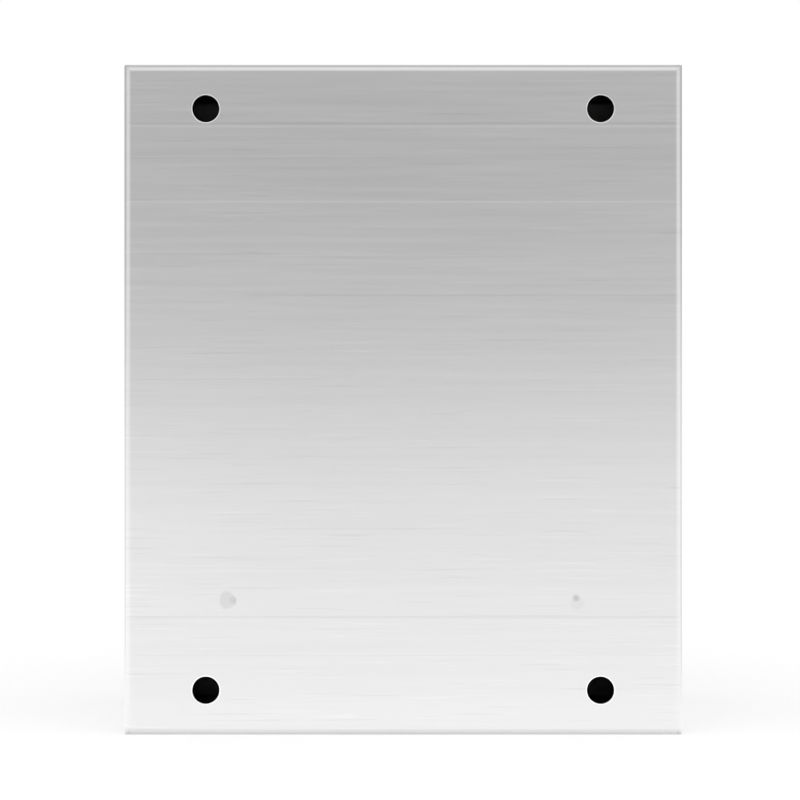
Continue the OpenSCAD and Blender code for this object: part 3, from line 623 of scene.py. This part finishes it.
def weld_spot(tree, x, z, ragged, place_x, place_z, radius):
    """A round spot with a ragged edge."""
    away = distance(
        tree, calc(tree, "SUBTRACT", x, place_x), calc(tree, "SUBTRACT", z, place_z))
    away = varied(tree, away, (ragged, SPOT_RAGGEDNESS * radius))
    return ease(tree, away, radius + SPOT_EDGE, radius - SPOT_EDGE)


def hole_rims(tree, x, z):
    """A ring round each of the four wall holes."""
    away = distance(tree, beyond(tree, x, wall_holes["spacing_x_mm"] / 2),
                    beyond(tree, z, wall_holes["spacing_y_mm"] / 2))
    edge = wall_holes["hole_r_mm"]
    return ease(tree, away, edge + BURNISHED_AND_HIGHLIGHT_RIM, edge + RIM_CORE * BURNISHED_AND_HIGHLIGHT_RIM)


def back_marks(tree, place, tone, rough):
    """Adds the lines, spots and rims of the back to tone and roughness."""
    x, y, z = [calc(tree, "DIVIDE", part, MM) for part in parts_of(tree, place["Object"])]
    on_back = ease(tree, y, -2 * BACK_DEPTH, -BACK_DEPTH)
    fading = ease(tree, clouds(tree, place, *LINE_NOISE), *LINE_FADING)
    ragged = clouds(tree, place, *SPOT_NOISE)
    marks = []
    for height, half, change, start, end in BELT_LINES:
        marks.append((belt_line(tree, x, z, fading, height, half, start, end), change, 0.0))
    for place_x, place_z, radius, change in WELD_SPOTS:
        spot = weld_spot(tree, x, z, ragged, place_x, place_z, radius)
        marks.append((spot, change, SPOT_DULLNESS * change))
    # the rim: a painted highlight in its tone, and real burnish in its lower roughness
    marks.append((hole_rims(tree, x, z), RIM_HIGHLIGHT_TONE, RIM_GLOSS))
    for mark, tone_change, rough_change in marks:
        mark = calc(tree, "MULTIPLY", mark, on_back)
        tone = calc(tree, "MULTIPLY_ADD", mark, tone_change, tone)
        if rough_change:
            rough = calc(tree, "MULTIPLY_ADD", mark, rough_change, rough)
    return tone, rough


body_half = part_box("body_shell")[1]
door_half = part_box("door_panel")[1]
body_finish = brushed_sheet("brushed_body", (body_half.x, body_half.z), back_marks)
door_finish = brushed_sheet("brushed_door", (door_half.x, door_half.z))
finishes = {"stainless": brushed_sheet("brushed_small_parts")}
print("belt lines", len(BELT_LINES), "weld spots", len(WELD_SPOTS))

# %% [markdown]
# Galvanised sheet, as of the mounting plate, freezes in crystals. So each cell of a Voronoi
# pattern gets its own tone and gloss, and a noise bends the edges, which would be too straight.

# %% Galvanised sheet
GALVANISED_TONE = (0.6, 0.615, 0.63)
GALVANISED_ROUGHNESS = 0.42
CRYSTALS = 170             # along a metre
CRYSTAL_BEND = (0.004, 0.004, 0.004)
CRYSTAL_NOISE = 200
CRYSTAL_SWINGS = (0.16, 0.14)  # of tone and roughness, as in all cells below
WEATHER_NOISE = (18, 3)    # scale and detail, as in all cells below
WEATHER_SWINGS = (0.12, 0.1)


def galvanised():
    finish, tree, shader, place = new_finish("galvanised_sheet", metallic=1.0)
    push = shaded(tree, CRYSTAL_BEND, clouds(tree, place, CRYSTAL_NOISE))
    bent = vector_calc(tree, "ADD", place["Object"], push)[0]
    crystal = parts_of(tree, cells(tree, bent, CRYSTALS)["Color"])[0]
    weather = clouds(tree, place, *WEATHER_NOISE)
    tone, rough = swung(tree, GALVANISED_ROUGHNESS,
                        (crystal, *CRYSTAL_SWINGS), (weather, *WEATHER_SWINGS))
    paint(tree, shader, shaded(tree, GALVANISED_TONE, tone), rough)
    return finish


finishes["galvanised"] = galvanised()
print("crystals of about", round(1 / CRYSTALS / MM, 1), "mm")

# %% [markdown]
# Zinc plating on screws, nuts and brackets is thin and cloudy, a little blue in places and a
# little straw-coloured in others. Two slow noises mix the tints, and a fine one roughens them.

# %% Zinc plating
ZINC_BLUE = (0.63, 0.66, 0.71)
ZINC_STRAW = (0.71, 0.7, 0.66)
ZINC_PALE = (0.78, 0.79, 0.8)
TINT_NOISE = (37, 2)
TINT_EDGE = (0.35, 0.65)
ZINC_NOISE = (90, 3)
ZINC_CLOUDS = (0.3, 0.75, 0.0, 0.45)  # where the pale clouds set in, and how much
ZINC_ROUGHNESS = 0.34
ZINC_DULLNESS = (0.16, 0.1)  # by the clouds and by the grain
ZINC_GRAIN = 1600
ZINC_RELIEF = 8e-6


def zinc_plated():
    finish, tree, shader, place = new_finish("zinc_plating", metallic=1.0)
    tint = ease(tree, clouds(tree, place, *TINT_NOISE), *TINT_EDGE)
    cloud = clouds(tree, place, *ZINC_NOISE)
    grain = clouds(tree, place, ZINC_GRAIN)
    colour = blended(tree, tint, ZINC_BLUE, ZINC_STRAW)
    colour = blended(tree, ease(tree, cloud, *ZINC_CLOUDS), colour, ZINC_PALE)
    rough = varied(tree, ZINC_ROUGHNESS, *zip((cloud, grain), ZINC_DULLNESS))
    paint(tree, shader, colour, rough, grain, ZINC_RELIEF)
    return finish


finishes["zinc_plated"] = zinc_plated()
print("zinc roughness about", ZINC_ROUGHNESS)

# %% [markdown]
# The terminal bars are drawn brass, with fine lines along the bar, and go dull in patches. A
# noise drawn out along the bar gives the lines, and a slow one mixes in the duller colour.

# %% Drawn brass
BRASS_FRESH = (0.8, 0.6, 0.27)
BRASS_DULL = (0.48, 0.33, 0.14)
BRASS_ANISOTROPY = 0.4
BRASS_ROUGHNESS = 0.3
BRASS_DULLNESS = (0.1, 0.2)  # by the lines and by the patches
DRAWN_LINES = (0.03, 0.0004, 2.2)
DRAWN_TONE = 0.14
DRAWN_RELIEF = 4e-6
PATCH_NOISE = (70, 4)
PATCH_EDGE = (0.42, 0.75, 0.0, 0.6)


def drawn_brass():
    finish, tree, shader, place = new_finish(
        "drawn_brass", metallic=1.0, anisotropic=BRASS_ANISOTROPY)
    x, y, z = parts_of(tree, place["Object"])
    drawn = streaks(tree, x, calc(tree, "ADD", z, y), *DRAWN_LINES)
    dull = clouds(tree, place, *PATCH_NOISE)
    fresh = shaded(tree, BRASS_FRESH, varied(tree, 1.0, (drawn, DRAWN_TONE)))
    colour = blended(tree, ease(tree, dull, *PATCH_EDGE), fresh, BRASS_DULL)
    rough = varied(tree, BRASS_ROUGHNESS, *zip((drawn, dull), BRASS_DULLNESS))
    paint(tree, shader, colour, rough, drawn, DRAWN_RELIEF)
    return finish


finishes["brass"] = drawn_brass()
print("lines in the brass", DRAWN_LINES[1] / MM, "mm wide")

# %% [markdown]
# The lock is turned and chromed. So its fine rings run round its own axis, which a Mapping node
# puts at zero.

# %% Satin chrome
CHROME_TONE = (0.68, 0.69, 0.7)
CHROME_ROUGHNESS = 0.24
TURNED_RINGS = (0.002, 0.00025, 5.5)
RING_SWINGS = (0.1, 0.1)
RING_RELIEF = 5e-6
CHROME_NOISE = (110, 2)
CHROME_SWINGS = (0.08, 0.08)


def turned_chrome():
    finish, tree, shader, place = new_finish("satin_chrome", metallic=1.0)
    lo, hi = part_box("lock_housing")
    centred = tree.nodes.new("ShaderNodeMapping")
    centred.inputs["Location"].default_value = (-(lo.x + hi.x) / 2, 0, -(lo.z + hi.z) / 2)
    tree.links.new(place["Object"], centred.inputs["Vector"])
    x, y, z = parts_of(tree, centred.outputs[0])
    rings = streaks(tree, y, distance(tree, x, z), *TURNED_RINGS)
    cloud = clouds(tree, place, *CHROME_NOISE)
    tone, rough = swung(tree, CHROME_ROUGHNESS, (rings, *RING_SWINGS), (cloud, *CHROME_SWINGS))
    paint(tree, shader, shaded(tree, CHROME_TONE, tone), rough, rings, RING_RELIEF)
    return finish


finishes["lock_metal"] = turned_chrome()
print("metal finishes", sorted(finishes))

# %% [markdown]
# Rubber is nearly black and dull, with a bloom that lightens it in patches.

# %% Rubber
RUBBER_BLACK = (0.022, 0.022, 0.023)
RUBBER_GREY = (0.05, 0.05, 0.052)
RUBBER_SHINE = 0.35
RUBBER_ROUGHNESS = 0.72
RUBBER_DULLNESS = (0.2, 0.1)  # by the bloom and by the grain
RUBBER_GRAIN = 2200
RUBBER_RELIEF = 1.5e-5
BLOOM_NOISE = (60, 4)
BLOOM_EDGE = (0.4, 0.8)


def rubber():
    finish, tree, shader, place = new_finish("black_rubber", specular=RUBBER_SHINE)
    bloom = clouds(tree, place, *BLOOM_NOISE)
    grain = clouds(tree, place, RUBBER_GRAIN)
    colour = blended(tree, ease(tree, bloom, *BLOOM_EDGE), RUBBER_BLACK, RUBBER_GREY)
    rough = varied(tree, RUBBER_ROUGHNESS, *zip((bloom, grain), RUBBER_DULLNESS))
    paint(tree, shader, colour, rough, grain, RUBBER_RELIEF)
    return finish


finishes["black_rubber"] = rubber()
print("rubber roughness about", RUBBER_ROUGHNESS)

# %% [markdown]
# The foam of the door seal is dispensed as a liquid and sets with a skin full of tiny cells,
# which the distances in a fine Voronoi pattern give.

# %% Seal foam
FOAM_TONE = (0.05, 0.051, 0.053)
FOAM_SHINE = 0.25
FOAM_ROUGHNESS = 0.88
FOAM_CELLS = 1500
FOAM_PORE = (0.1, 0.6)
FOAM_RELIEF = 8e-5
FOAM_NOISE = (45, 3)
PORE_TONE = 0.5
FOAM_SWINGS = (0.4, 0.12)


def seal_foam():
    finish, tree, shader, place = new_finish("seal_foam", specular=FOAM_SHINE)
    pore = ease(tree, cells(tree, place["Object"], FOAM_CELLS)["Distance"], *FOAM_PORE)
    cloud = clouds(tree, place, *FOAM_NOISE)
    tone, rough = swung(tree, FOAM_ROUGHNESS, (pore, PORE_TONE, 0.0), (cloud, *FOAM_SWINGS))
    paint(tree, shader, shaded(tree, FOAM_TONE, tone), rough, pore, FOAM_RELIEF)
    return finish


foam = seal_foam()
print("foam cells of about", round(1 / FOAM_CELLS / MM, 1), "mm")

# %% [markdown]
# The moulded supports of the terminal bars are coloured all through, blue for neutral and green
# for earth, with the even, fine texture that the mould gives them.

# %% Moulded plastic
MOULDED_BLUE = (0.045, 0.17, 0.5)
MOULDED_GREEN = (0.05, 0.33, 0.13)
MOULDED_SHINE = 0.45
MOULDED_ROUGHNESS = 0.46
MOULD_GRAIN = 2600
MOULD_SWINGS = (0.16, 0.14)
MOULD_RELIEF = 2e-5
FLOW_NOISE = (55, 3)
FLOW_SWINGS = (0.22, 0.1)


def moulded(name, colour):
    finish, tree, shader, place = new_finish(name, specular=MOULDED_SHINE)
    grain = clouds(tree, place, MOULD_GRAIN)
    flow = clouds(tree, place, *FLOW_NOISE)
    tone, rough = swung(tree, MOULDED_ROUGHNESS, (flow, *FLOW_SWINGS), (grain, *MOULD_SWINGS))
    paint(tree, shader, shaded(tree, colour, tone), rough, grain, MOULD_RELIEF)
    return finish


finishes["blue_plastic"] = moulded("blue_moulding", MOULDED_BLUE)
finishes["green_plastic"] = moulded("green_moulding", MOULDED_GREEN)
print("all finishes", sorted(finishes))

# %% [markdown]
# Dressing the solids. The record says which finish each sub-part takes, so one loop serves them
# all. The body and the door have finishes of their own, because their seams and marks are placed
# by their sizes.

# %% Dress the solids
own_finish = {"body_shell": body_finish, "door_panel": door_finish}
for row in frame["record"]["subparts"]:
    slots = frame["nodes"][row["node"]].data.materials
    slots.clear()
    slots.append(own_finish.get(row["node"], finishes[row["material_slot"]]))

# %% [markdown]
# Where each nut and stud stands is already in the solids. A node's mesh comes as loose
# triangles, so a copy is merged and then walked from corner to corner: every island is one nut
# or one stud, and the corners of its box give its place and size.

# %% Find the single solids of a node
SAME_CORNER = 1e-7


def solids_of(node):
    """Lowest and highest corners of every separate solid in a node, in a steady order."""
    work = bmesh.new()
    work.from_mesh(frame["nodes"][node].data)
    bmesh.ops.remove_doubles(work, verts=work.verts, dist=SAME_CORNER)
    waiting, boxes = set(work.verts), []
    for start in work.verts:
        if start not in waiting:
            continue
        waiting.discard(start)
        front, island = [start], []
        while front:
            corner = front.pop()
            island.append(corner.co.copy())
            for edge in corner.link_edges:
                other = edge.other_vert(corner)
                if other in waiting:
                    waiting.discard(other)
                    front.append(other)
        parts = list(zip(*island))
        boxes.append((Vector([min(part) for part in parts]), Vector([max(part) for part in parts])))
    work.free()
    return sorted(boxes, key=lambda box: tuple(round(part, 5) for part in box[0]))


def measured(node, aim):
    """The boxes of a node's solids, the number of their axis, and the first one's size in mm."""
    boxes = solids_of(node)
    return boxes, "XYZ".index(aim[1]), (boxes[0][1] - boxes[0][0]) / MM


for node in ("plate_nuts", "gland_nuts", "plate_studs", "gland_studs"):
    print(node, len(solids_of(node)))

# %% [markdown]
# Geometry Nodes helpers. A tree is made once, with named inputs for its sizes in millimetres,
# and used for every size of nut or stud. Each use starts from a mesh that is only points, one
# for each copy, and ends as a plain mesh with the modifier gone, because a finished piece must
# not depend on it.

# %% Geometry Nodes helpers
AIM = {"+X": (0, math.pi / 2, 0), "-Y": (math.pi / 2, 0, 0), "+Y": (-math.pi / 2, 0, 0),
       "+Z": (0, 0, 0)}


class Grower:
    """A Geometry Nodes tree, with the inputs Aim and Finish beside its own sizes and counts."""

    def __init__(self, name, sizes, counts=()):
        self.tree = bpy.data.node_groups.new(name, "GeometryNodeTree")
        kinds = {**{title: "Float" for title in sizes}, **{title: "Int" for title in counts},
                 "Aim": "Vector", "Finish": "Material"}
        self.socket("Geometry", "INPUT", "Geometry")
        self.names = {title: self.socket(title, "INPUT", kind) for title, kind in kinds.items()}
        self.socket("Geometry", "OUTPUT", "Geometry")
        self.entry = self.tree.nodes.new("NodeGroupInput").outputs
        self.exit = self.tree.nodes.new("NodeGroupOutput").inputs[0]

    def socket(self, title, side, kind):
        """A new socket of the tree, by its identifier."""
        return self.tree.interface.new_socket(
            title, in_out=side, socket_type="NodeSocket" + kind).identifier

    def add(self, kind, values=None, **settings):
        """One node. values feeds its sockets by name or number, settings its own properties.
        A list feeds one socket several times."""
        node = self.tree.nodes.new(kind)
        for name, value in settings.items():
            setattr(node, name, value)
        for key, value in (values or {}).items():
            for single in value if isinstance(value, list) else [value]:
                feed(self.tree, node.inputs[key], single)
        return node.outputs[0]

    def calc(self, operation, *values):
        return calc(self.tree, operation, *values)

    def vector(self, x, y, z):
        return vector_of(self.tree, x, y, z)

    def raised(self, solid, height, turn=0.0):
        """A solid turned round X and then moved up."""
        return self.add("GeometryNodeTransform", {
            0: solid, "Translation": self.vector(0.0, 0.0, height), "Rotation": (turn, 0, 0)})

    def crisp(self, geometry, angle):
        """Smooth faces that stay sharp where they meet at more than the angle."""
        soft = self.add("GeometryNodeSetShadeSmooth", {0: geometry, "Shade Smooth": True})
        edge = self.add("GeometryNodeInputMeshEdgeAngle")
        sharp = self.calc("GREATER_THAN", edge, math.radians(angle))
        return self.add("GeometryNodeSetShadeSmooth", {
            0: soft, "Selection": sharp, "Shade Smooth": False}, domain="EDGE")

    def copies(self, geometry):
        """A copy on each point, turned to its direction and brought to metres."""
        return self.add("GeometryNodeInstanceOnPoints", {
            "Points": self.entry["Geometry"], "Instance": geometry,
            "Rotation": self.entry["Aim"], "Scale": (MM, MM, MM)})

    def finish(self, geometry):
        """Realises all copies and gives them the finish, as the last two nodes."""
        real = self.add("GeometryNodeRealizeInstances", {0: geometry})
        painted = self.add("GeometryNodeSetMaterial", {0: real, "Material": self.entry["Finish"]})
        self.tree.links.new(painted, self.exit)


def grow(name, grower, points, values, body, node):
    """Runs a tree on points, keeps the result as a plain mesh and sets it in a node's place."""
    seeds = bpy.data.meshes.new(name + "_points")
    seeds.from_pydata(points, [], [])
    holder = placed(name + "_points", seeds)
    modifier = holder.modifiers.new("grow", "NODES")
    modifier.node_group = grower.tree
    for title, value in values.items():
        modifier[grower.names[title]] = value
    evaluated = holder.evaluated_get(bpy.context.evaluated_depsgraph_get())
    mesh = bpy.data.meshes.new_from_object(evaluated)
    mesh.name = name
    holder.modifiers.remove(modifier)
    bpy.data.objects.remove(holder)
    piece = placed(name, mesh)
    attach(piece, body)
    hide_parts(node)
    print(name, "faces", len(mesh.polygons), "size mm", [round(c / MM, 2) for c in piece.dimensions])


print("directions", sorted(AIM))

# %% [markdown]
# Hexagon nuts. The corners of a real nut are turned off at 30 degrees on both faces, which
# leaves the curved lines by which one knows a nut. Meeting a hexagonal prism with two cones
# gives exactly that, where a plain bevel would not. Each nut stops at its own angle when it is
# tightened, so every copy is turned by a fixed-seed random part of a sixth of a turn.

# %% Nut tree
CHAMFER_RUN = math.tan(math.radians(60))
CHAMFER_FLAT = 0.95        # the flat ring as a share of the width across flats
SIXTH_TURN = math.pi / 3
CONE_SIDES = 64
BORE_SIDES = 40
NUT_CREASE = 20            # degrees above which an edge stays sharp

nuts = Grower("chamfered_nuts", ("Across flats", "Height", "Bore"), ("Seed",))
across, height = nuts.entry["Across flats"], nuts.entry["Height"]
corner = nuts.calc("MULTIPLY", across, 0.5 / math.cos(SIXTH_TURN / 2))
prism = nuts.add("GeometryNodeMeshCylinder", {"Vertices": 6, "Radius": corner, "Depth": height})
flat_ring = nuts.calc("MULTIPLY", across, 0.5 * CHAMFER_FLAT)
cone = nuts.add("GeometryNodeMeshCone", {
    "Vertices": CONE_SIDES, "Radius Top": flat_ring, "Depth": height,
    "Radius Bottom": nuts.calc("MULTIPLY_ADD", height, CHAMFER_RUN, flat_ring)})
half = nuts.calc("MULTIPLY", height, 0.5)
upper = nuts.raised(cone, nuts.calc("MULTIPLY", half, -1.0))
lower = nuts.raised(cone, half, math.pi)
blank = nuts.add("GeometryNodeMeshBoolean", {1: [prism, upper, lower]},
                 operation="INTERSECT", solver="EXACT")
drill = nuts.add("GeometryNodeMeshCylinder", {
    "Vertices": BORE_SIDES, "Radius": nuts.calc("MULTIPLY", nuts.entry["Bore"], 0.5),
    "Depth": nuts.calc("MULTIPLY", height, 2.0)})
bored = nuts.add("GeometryNodeMeshBoolean", {0: blank, 1: drill},
                 operation="DIFFERENCE", solver="EXACT")
turn = nuts.tree.nodes.new("FunctionNodeRandomValue")
turn.data_type = "FLOAT"
turn.inputs[3].default_value = SIXTH_TURN
nuts.tree.links.new(nuts.entry["Seed"], turn.inputs["Seed"])
turned = nuts.add("GeometryNodeRotateInstances", {
    0: nuts.copies(nuts.crisp(bored, NUT_CREASE)),
    "Rotation": nuts.vector(0.0, 0.0, turn.outputs[1]), "Local Space": True})
nuts.finish(turned)
print("nut tree", len(nuts.tree.nodes), "nodes")

# %% Make the nuts
NUT_SETS = (  # node, direction, body, slot, bore
    ("plate_nuts", "-Y", "enclosure", "zinc_plated", 8.0),
    ("gland_nuts", "+Z", "enclosure", "zinc_plated", 5.0),
    ("hinge_nuts", "+Y", "enclosure", "zinc_plated", 4.0),
    ("body_earth_nuts", "+X", "enclosure", "brass", 6.0),
    ("door_earth_nuts", "+Y", "door", "brass", 6.0),
)
for seed, (node, aim, body, slot, bore) in enumerate(NUT_SETS):
    boxes, axis, size = measured(node, aim)
    points = [(lo + hi) / 2 for lo, hi in boxes]
    grow(node + "_chamfered", nuts, points, {
        "Across flats": min(size[i] for i in range(3) if i != axis), "Height": size[axis],
        "Bore": bore, "Aim": AIM[aim], "Seed": seed, "Finish": finishes[slot]}, body, node)

# %% [markdown]
# Threaded studs. A thread is one long ridge that climbs by its pitch on every turn. It could be
# swept along a spiral, but then the ridge and the core would be two meshes that cut into each
# other. Here one cylinder with many rings is pushed in and out instead: its angle and height say
# how far up the ridge a point is, so the thread, its run-out and the bevelled tip are one closed
# skin. The weld collar at the root is a plain disc.

# %% Stud tree
THREAD_DEPTH = 0.61        # as a share of the pitch
RIDGE_SHAPE = (1.3, -0.12)  # stretches the ridge, so that crest and root are flat
TIP_BEVEL = -0.1           # the tip's bevel ends this far inside the core, in pitches
RINGS_PER_TURN = 10
ROUND = 48
THREAD_CREASE = 60

studs = Grower("threaded_studs", (
    "Diameter", "Pitch", "Length", "Root diameter", "Root length"), ("Rings",))
pitch, length, root = [studs.entry[title] for title in ("Pitch", "Length", "Root length")]
run = studs.calc("SUBTRACT", length, root)
blank = studs.add("GeometryNodeMeshCylinder", {
    "Vertices": ROUND, "Side Segments": studs.entry["Rings"], "Radius": 1.0, "Depth": run})
blank = studs.raised(blank, studs.calc("MULTIPLY_ADD", run, 0.5, root))
px, py, pz = parts_of(studs.tree, studs.add("GeometryNodeInputPosition"))
angle = studs.calc("DIVIDE", studs.calc("ARCTAN2", py, px), 2 * math.pi)
phase = studs.calc("FRACT", studs.calc("SUBTRACT", studs.calc("DIVIDE", pz, pitch), angle))
swing = studs.calc("ABSOLUTE", studs.calc("MULTIPLY_ADD", phase, 2.0, -1.0))
ridge = studs.calc("MULTIPLY_ADD", studs.calc("SUBTRACT", 1.0, swing), *RIDGE_SHAPE)
ridge = studs.calc("MINIMUM", studs.calc("MAXIMUM", ridge, 0.0), 1.0)
depth = studs.calc("MULTIPLY", pitch, THREAD_DEPTH)
core = studs.calc("SUBTRACT", studs.calc("MULTIPLY", studs.entry["Diameter"], 0.5), depth)
radius = studs.calc("MULTIPLY_ADD", ridge, depth, core)
bevel = studs.calc("MULTIPLY_ADD", pitch, TIP_BEVEL, core)
tip = studs.calc("ADD", studs.calc("SUBTRACT", length, pz), bevel)
radius = studs.calc("MINIMUM", radius, tip)
pushed = studs.vector(
    studs.calc("MULTIPLY", px, radius), studs.calc("MULTIPLY", py, radius), pz)
thread = studs.add("GeometryNodeSetPosition", {0: blank, "Position": pushed})
collar = studs.add("GeometryNodeMeshCylinder", {
    "Vertices": ROUND, "Radius": studs.calc("MULTIPLY", studs.entry["Root diameter"], 0.5),
    "Depth": root})
collar = studs.raised(collar, studs.calc("MULTIPLY", root, 0.5))
whole = studs.add("GeometryNodeJoinGeometry", {0: [thread, collar]})
studs.finish(studs.copies(studs.crisp(whole, THREAD_CREASE)))
print("stud tree", len(studs.tree.nodes), "nodes")

# %% Make the studs
STUD_SETS = (  # node, direction, body, thread, pitch, root length
    ("plate_studs", "-Y", "enclosure", 8.0, 1.25, 14.0),
    ("gland_studs", "+Z", "enclosure", 5.0, 0.8, 1.0),
    ("body_earth_stud", "+X", "enclosure", 6.0, 1.0, 4.0),
    ("door_earth_stud", "+Y", "door", 6.0, 1.0, 4.0),
)
for node, aim, body, thread_d, thread_pitch, root_l in STUD_SETS:
    boxes, axis, size = measured(node, aim)
    feet = []
    for lo, hi in boxes:
        foot = (lo + hi) / 2
        foot[axis] = (lo if aim[0] == "+" else hi)[axis]
        feet.append(foot)
    rings = math.ceil((size[axis] - root_l) / thread_pitch * RINGS_PER_TURN)
    grow(node + "_threaded", studs, feet, {
        "Diameter": thread_d, "Pitch": thread_pitch, "Length": size[axis], "Rings": rings,
        "Root diameter": max(size[i] for i in range(3) if i != axis), "Root length": root_l,
        "Aim": AIM[aim], "Finish": finishes["stainless"]}, body, node)

# %% [markdown]
# The door seal. Liquid foam is laid in one bead round the inside of the door and rises to a soft
# crown, flat underneath where it sticks to the sheet. So a half-round profile is swept along a
# rectangle with round corners. The nozzle never runs quite evenly, and a small slow noise lowers
# the crown in places as it does.

# %% Seal tree
CORNER_STEPS = 8
BEAD_STEP = 2.0            # mm from one profile to the next
PROFILE_POINTS = 36
NOZZLE_NOISE = 0.035
BEAD_CREASE = 50

seal = Grower("foam_seal", ("Width", "Height", "Bead", "Rise", "Corner", "Swell"))
bead_width, rise = seal.entry["Bead"], seal.entry["Rise"]
path = seal.add("GeometryNodeCurvePrimitiveQuadrilateral", {
    0: seal.calc("SUBTRACT", seal.entry["Width"], bead_width),
    1: seal.calc("SUBTRACT", seal.entry["Height"], bead_width)})
path = seal.add("GeometryNodeFilletCurve", {
    0: path, "Radius": seal.entry["Corner"], "Count": CORNER_STEPS}, mode="POLY")
path = seal.add("GeometryNodeResampleCurve", {0: path, "Length": BEAD_STEP}, mode="LENGTH")
ring = seal.add("GeometryNodeCurvePrimitiveCircle", {"Resolution": PROFILE_POINTS, "Radius": 1.0})
spot = seal.add("GeometryNodeInputPosition")
px, py, pz = parts_of(seal.tree, spot)
half_round = seal.vector(
    seal.calc("MULTIPLY", px, seal.calc("MULTIPLY", bead_width, 0.5)),
    seal.calc("MULTIPLY", seal.calc("MINIMUM", py, 0.0), rise), 0.0)
profile = seal.add("GeometryNodeSetPosition", {0: ring, "Position": half_round})
bead = seal.add("GeometryNodeCurveToMesh", {0: path, 1: profile})
flow = noise(seal.tree, spot, NOZZLE_NOISE)
crest = seal.calc("DIVIDE", pz, rise)
sag = seal.calc("MULTIPLY", seal.calc("MULTIPLY", flow, seal.entry["Swell"]), crest)
lowered = seal.vector(0.0, 0.0, seal.calc("MULTIPLY", sag, -1.0))
bead = seal.add("GeometryNodeSetPosition", {0: bead, "Offset": lowered})
seal.finish(seal.copies(seal.crisp(bead, BEAD_CREASE)))
print("seal tree", len(seal.tree.nodes), "nodes")

# %% Make the seal
BEAD_WIDTH = 12.0          # mm, as the two below
BEAD_CORNER = 6.0
BEAD_SWELL = 0.5

lo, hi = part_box("door_gasket")
size = (hi - lo) / MM
foot = Vector(((lo.x + hi.x) / 2, lo.y, (lo.z + hi.z) / 2))
grow("door_foam_seal", seal, [foot], {
    "Width": size.x, "Height": size.z, "Bead": BEAD_WIDTH, "Rise": size.y, "Corner": BEAD_CORNER,
    "Swell": BEAD_SWELL, "Aim": AIM["+Y"], "Finish": foam}, "door", "door_gasket")
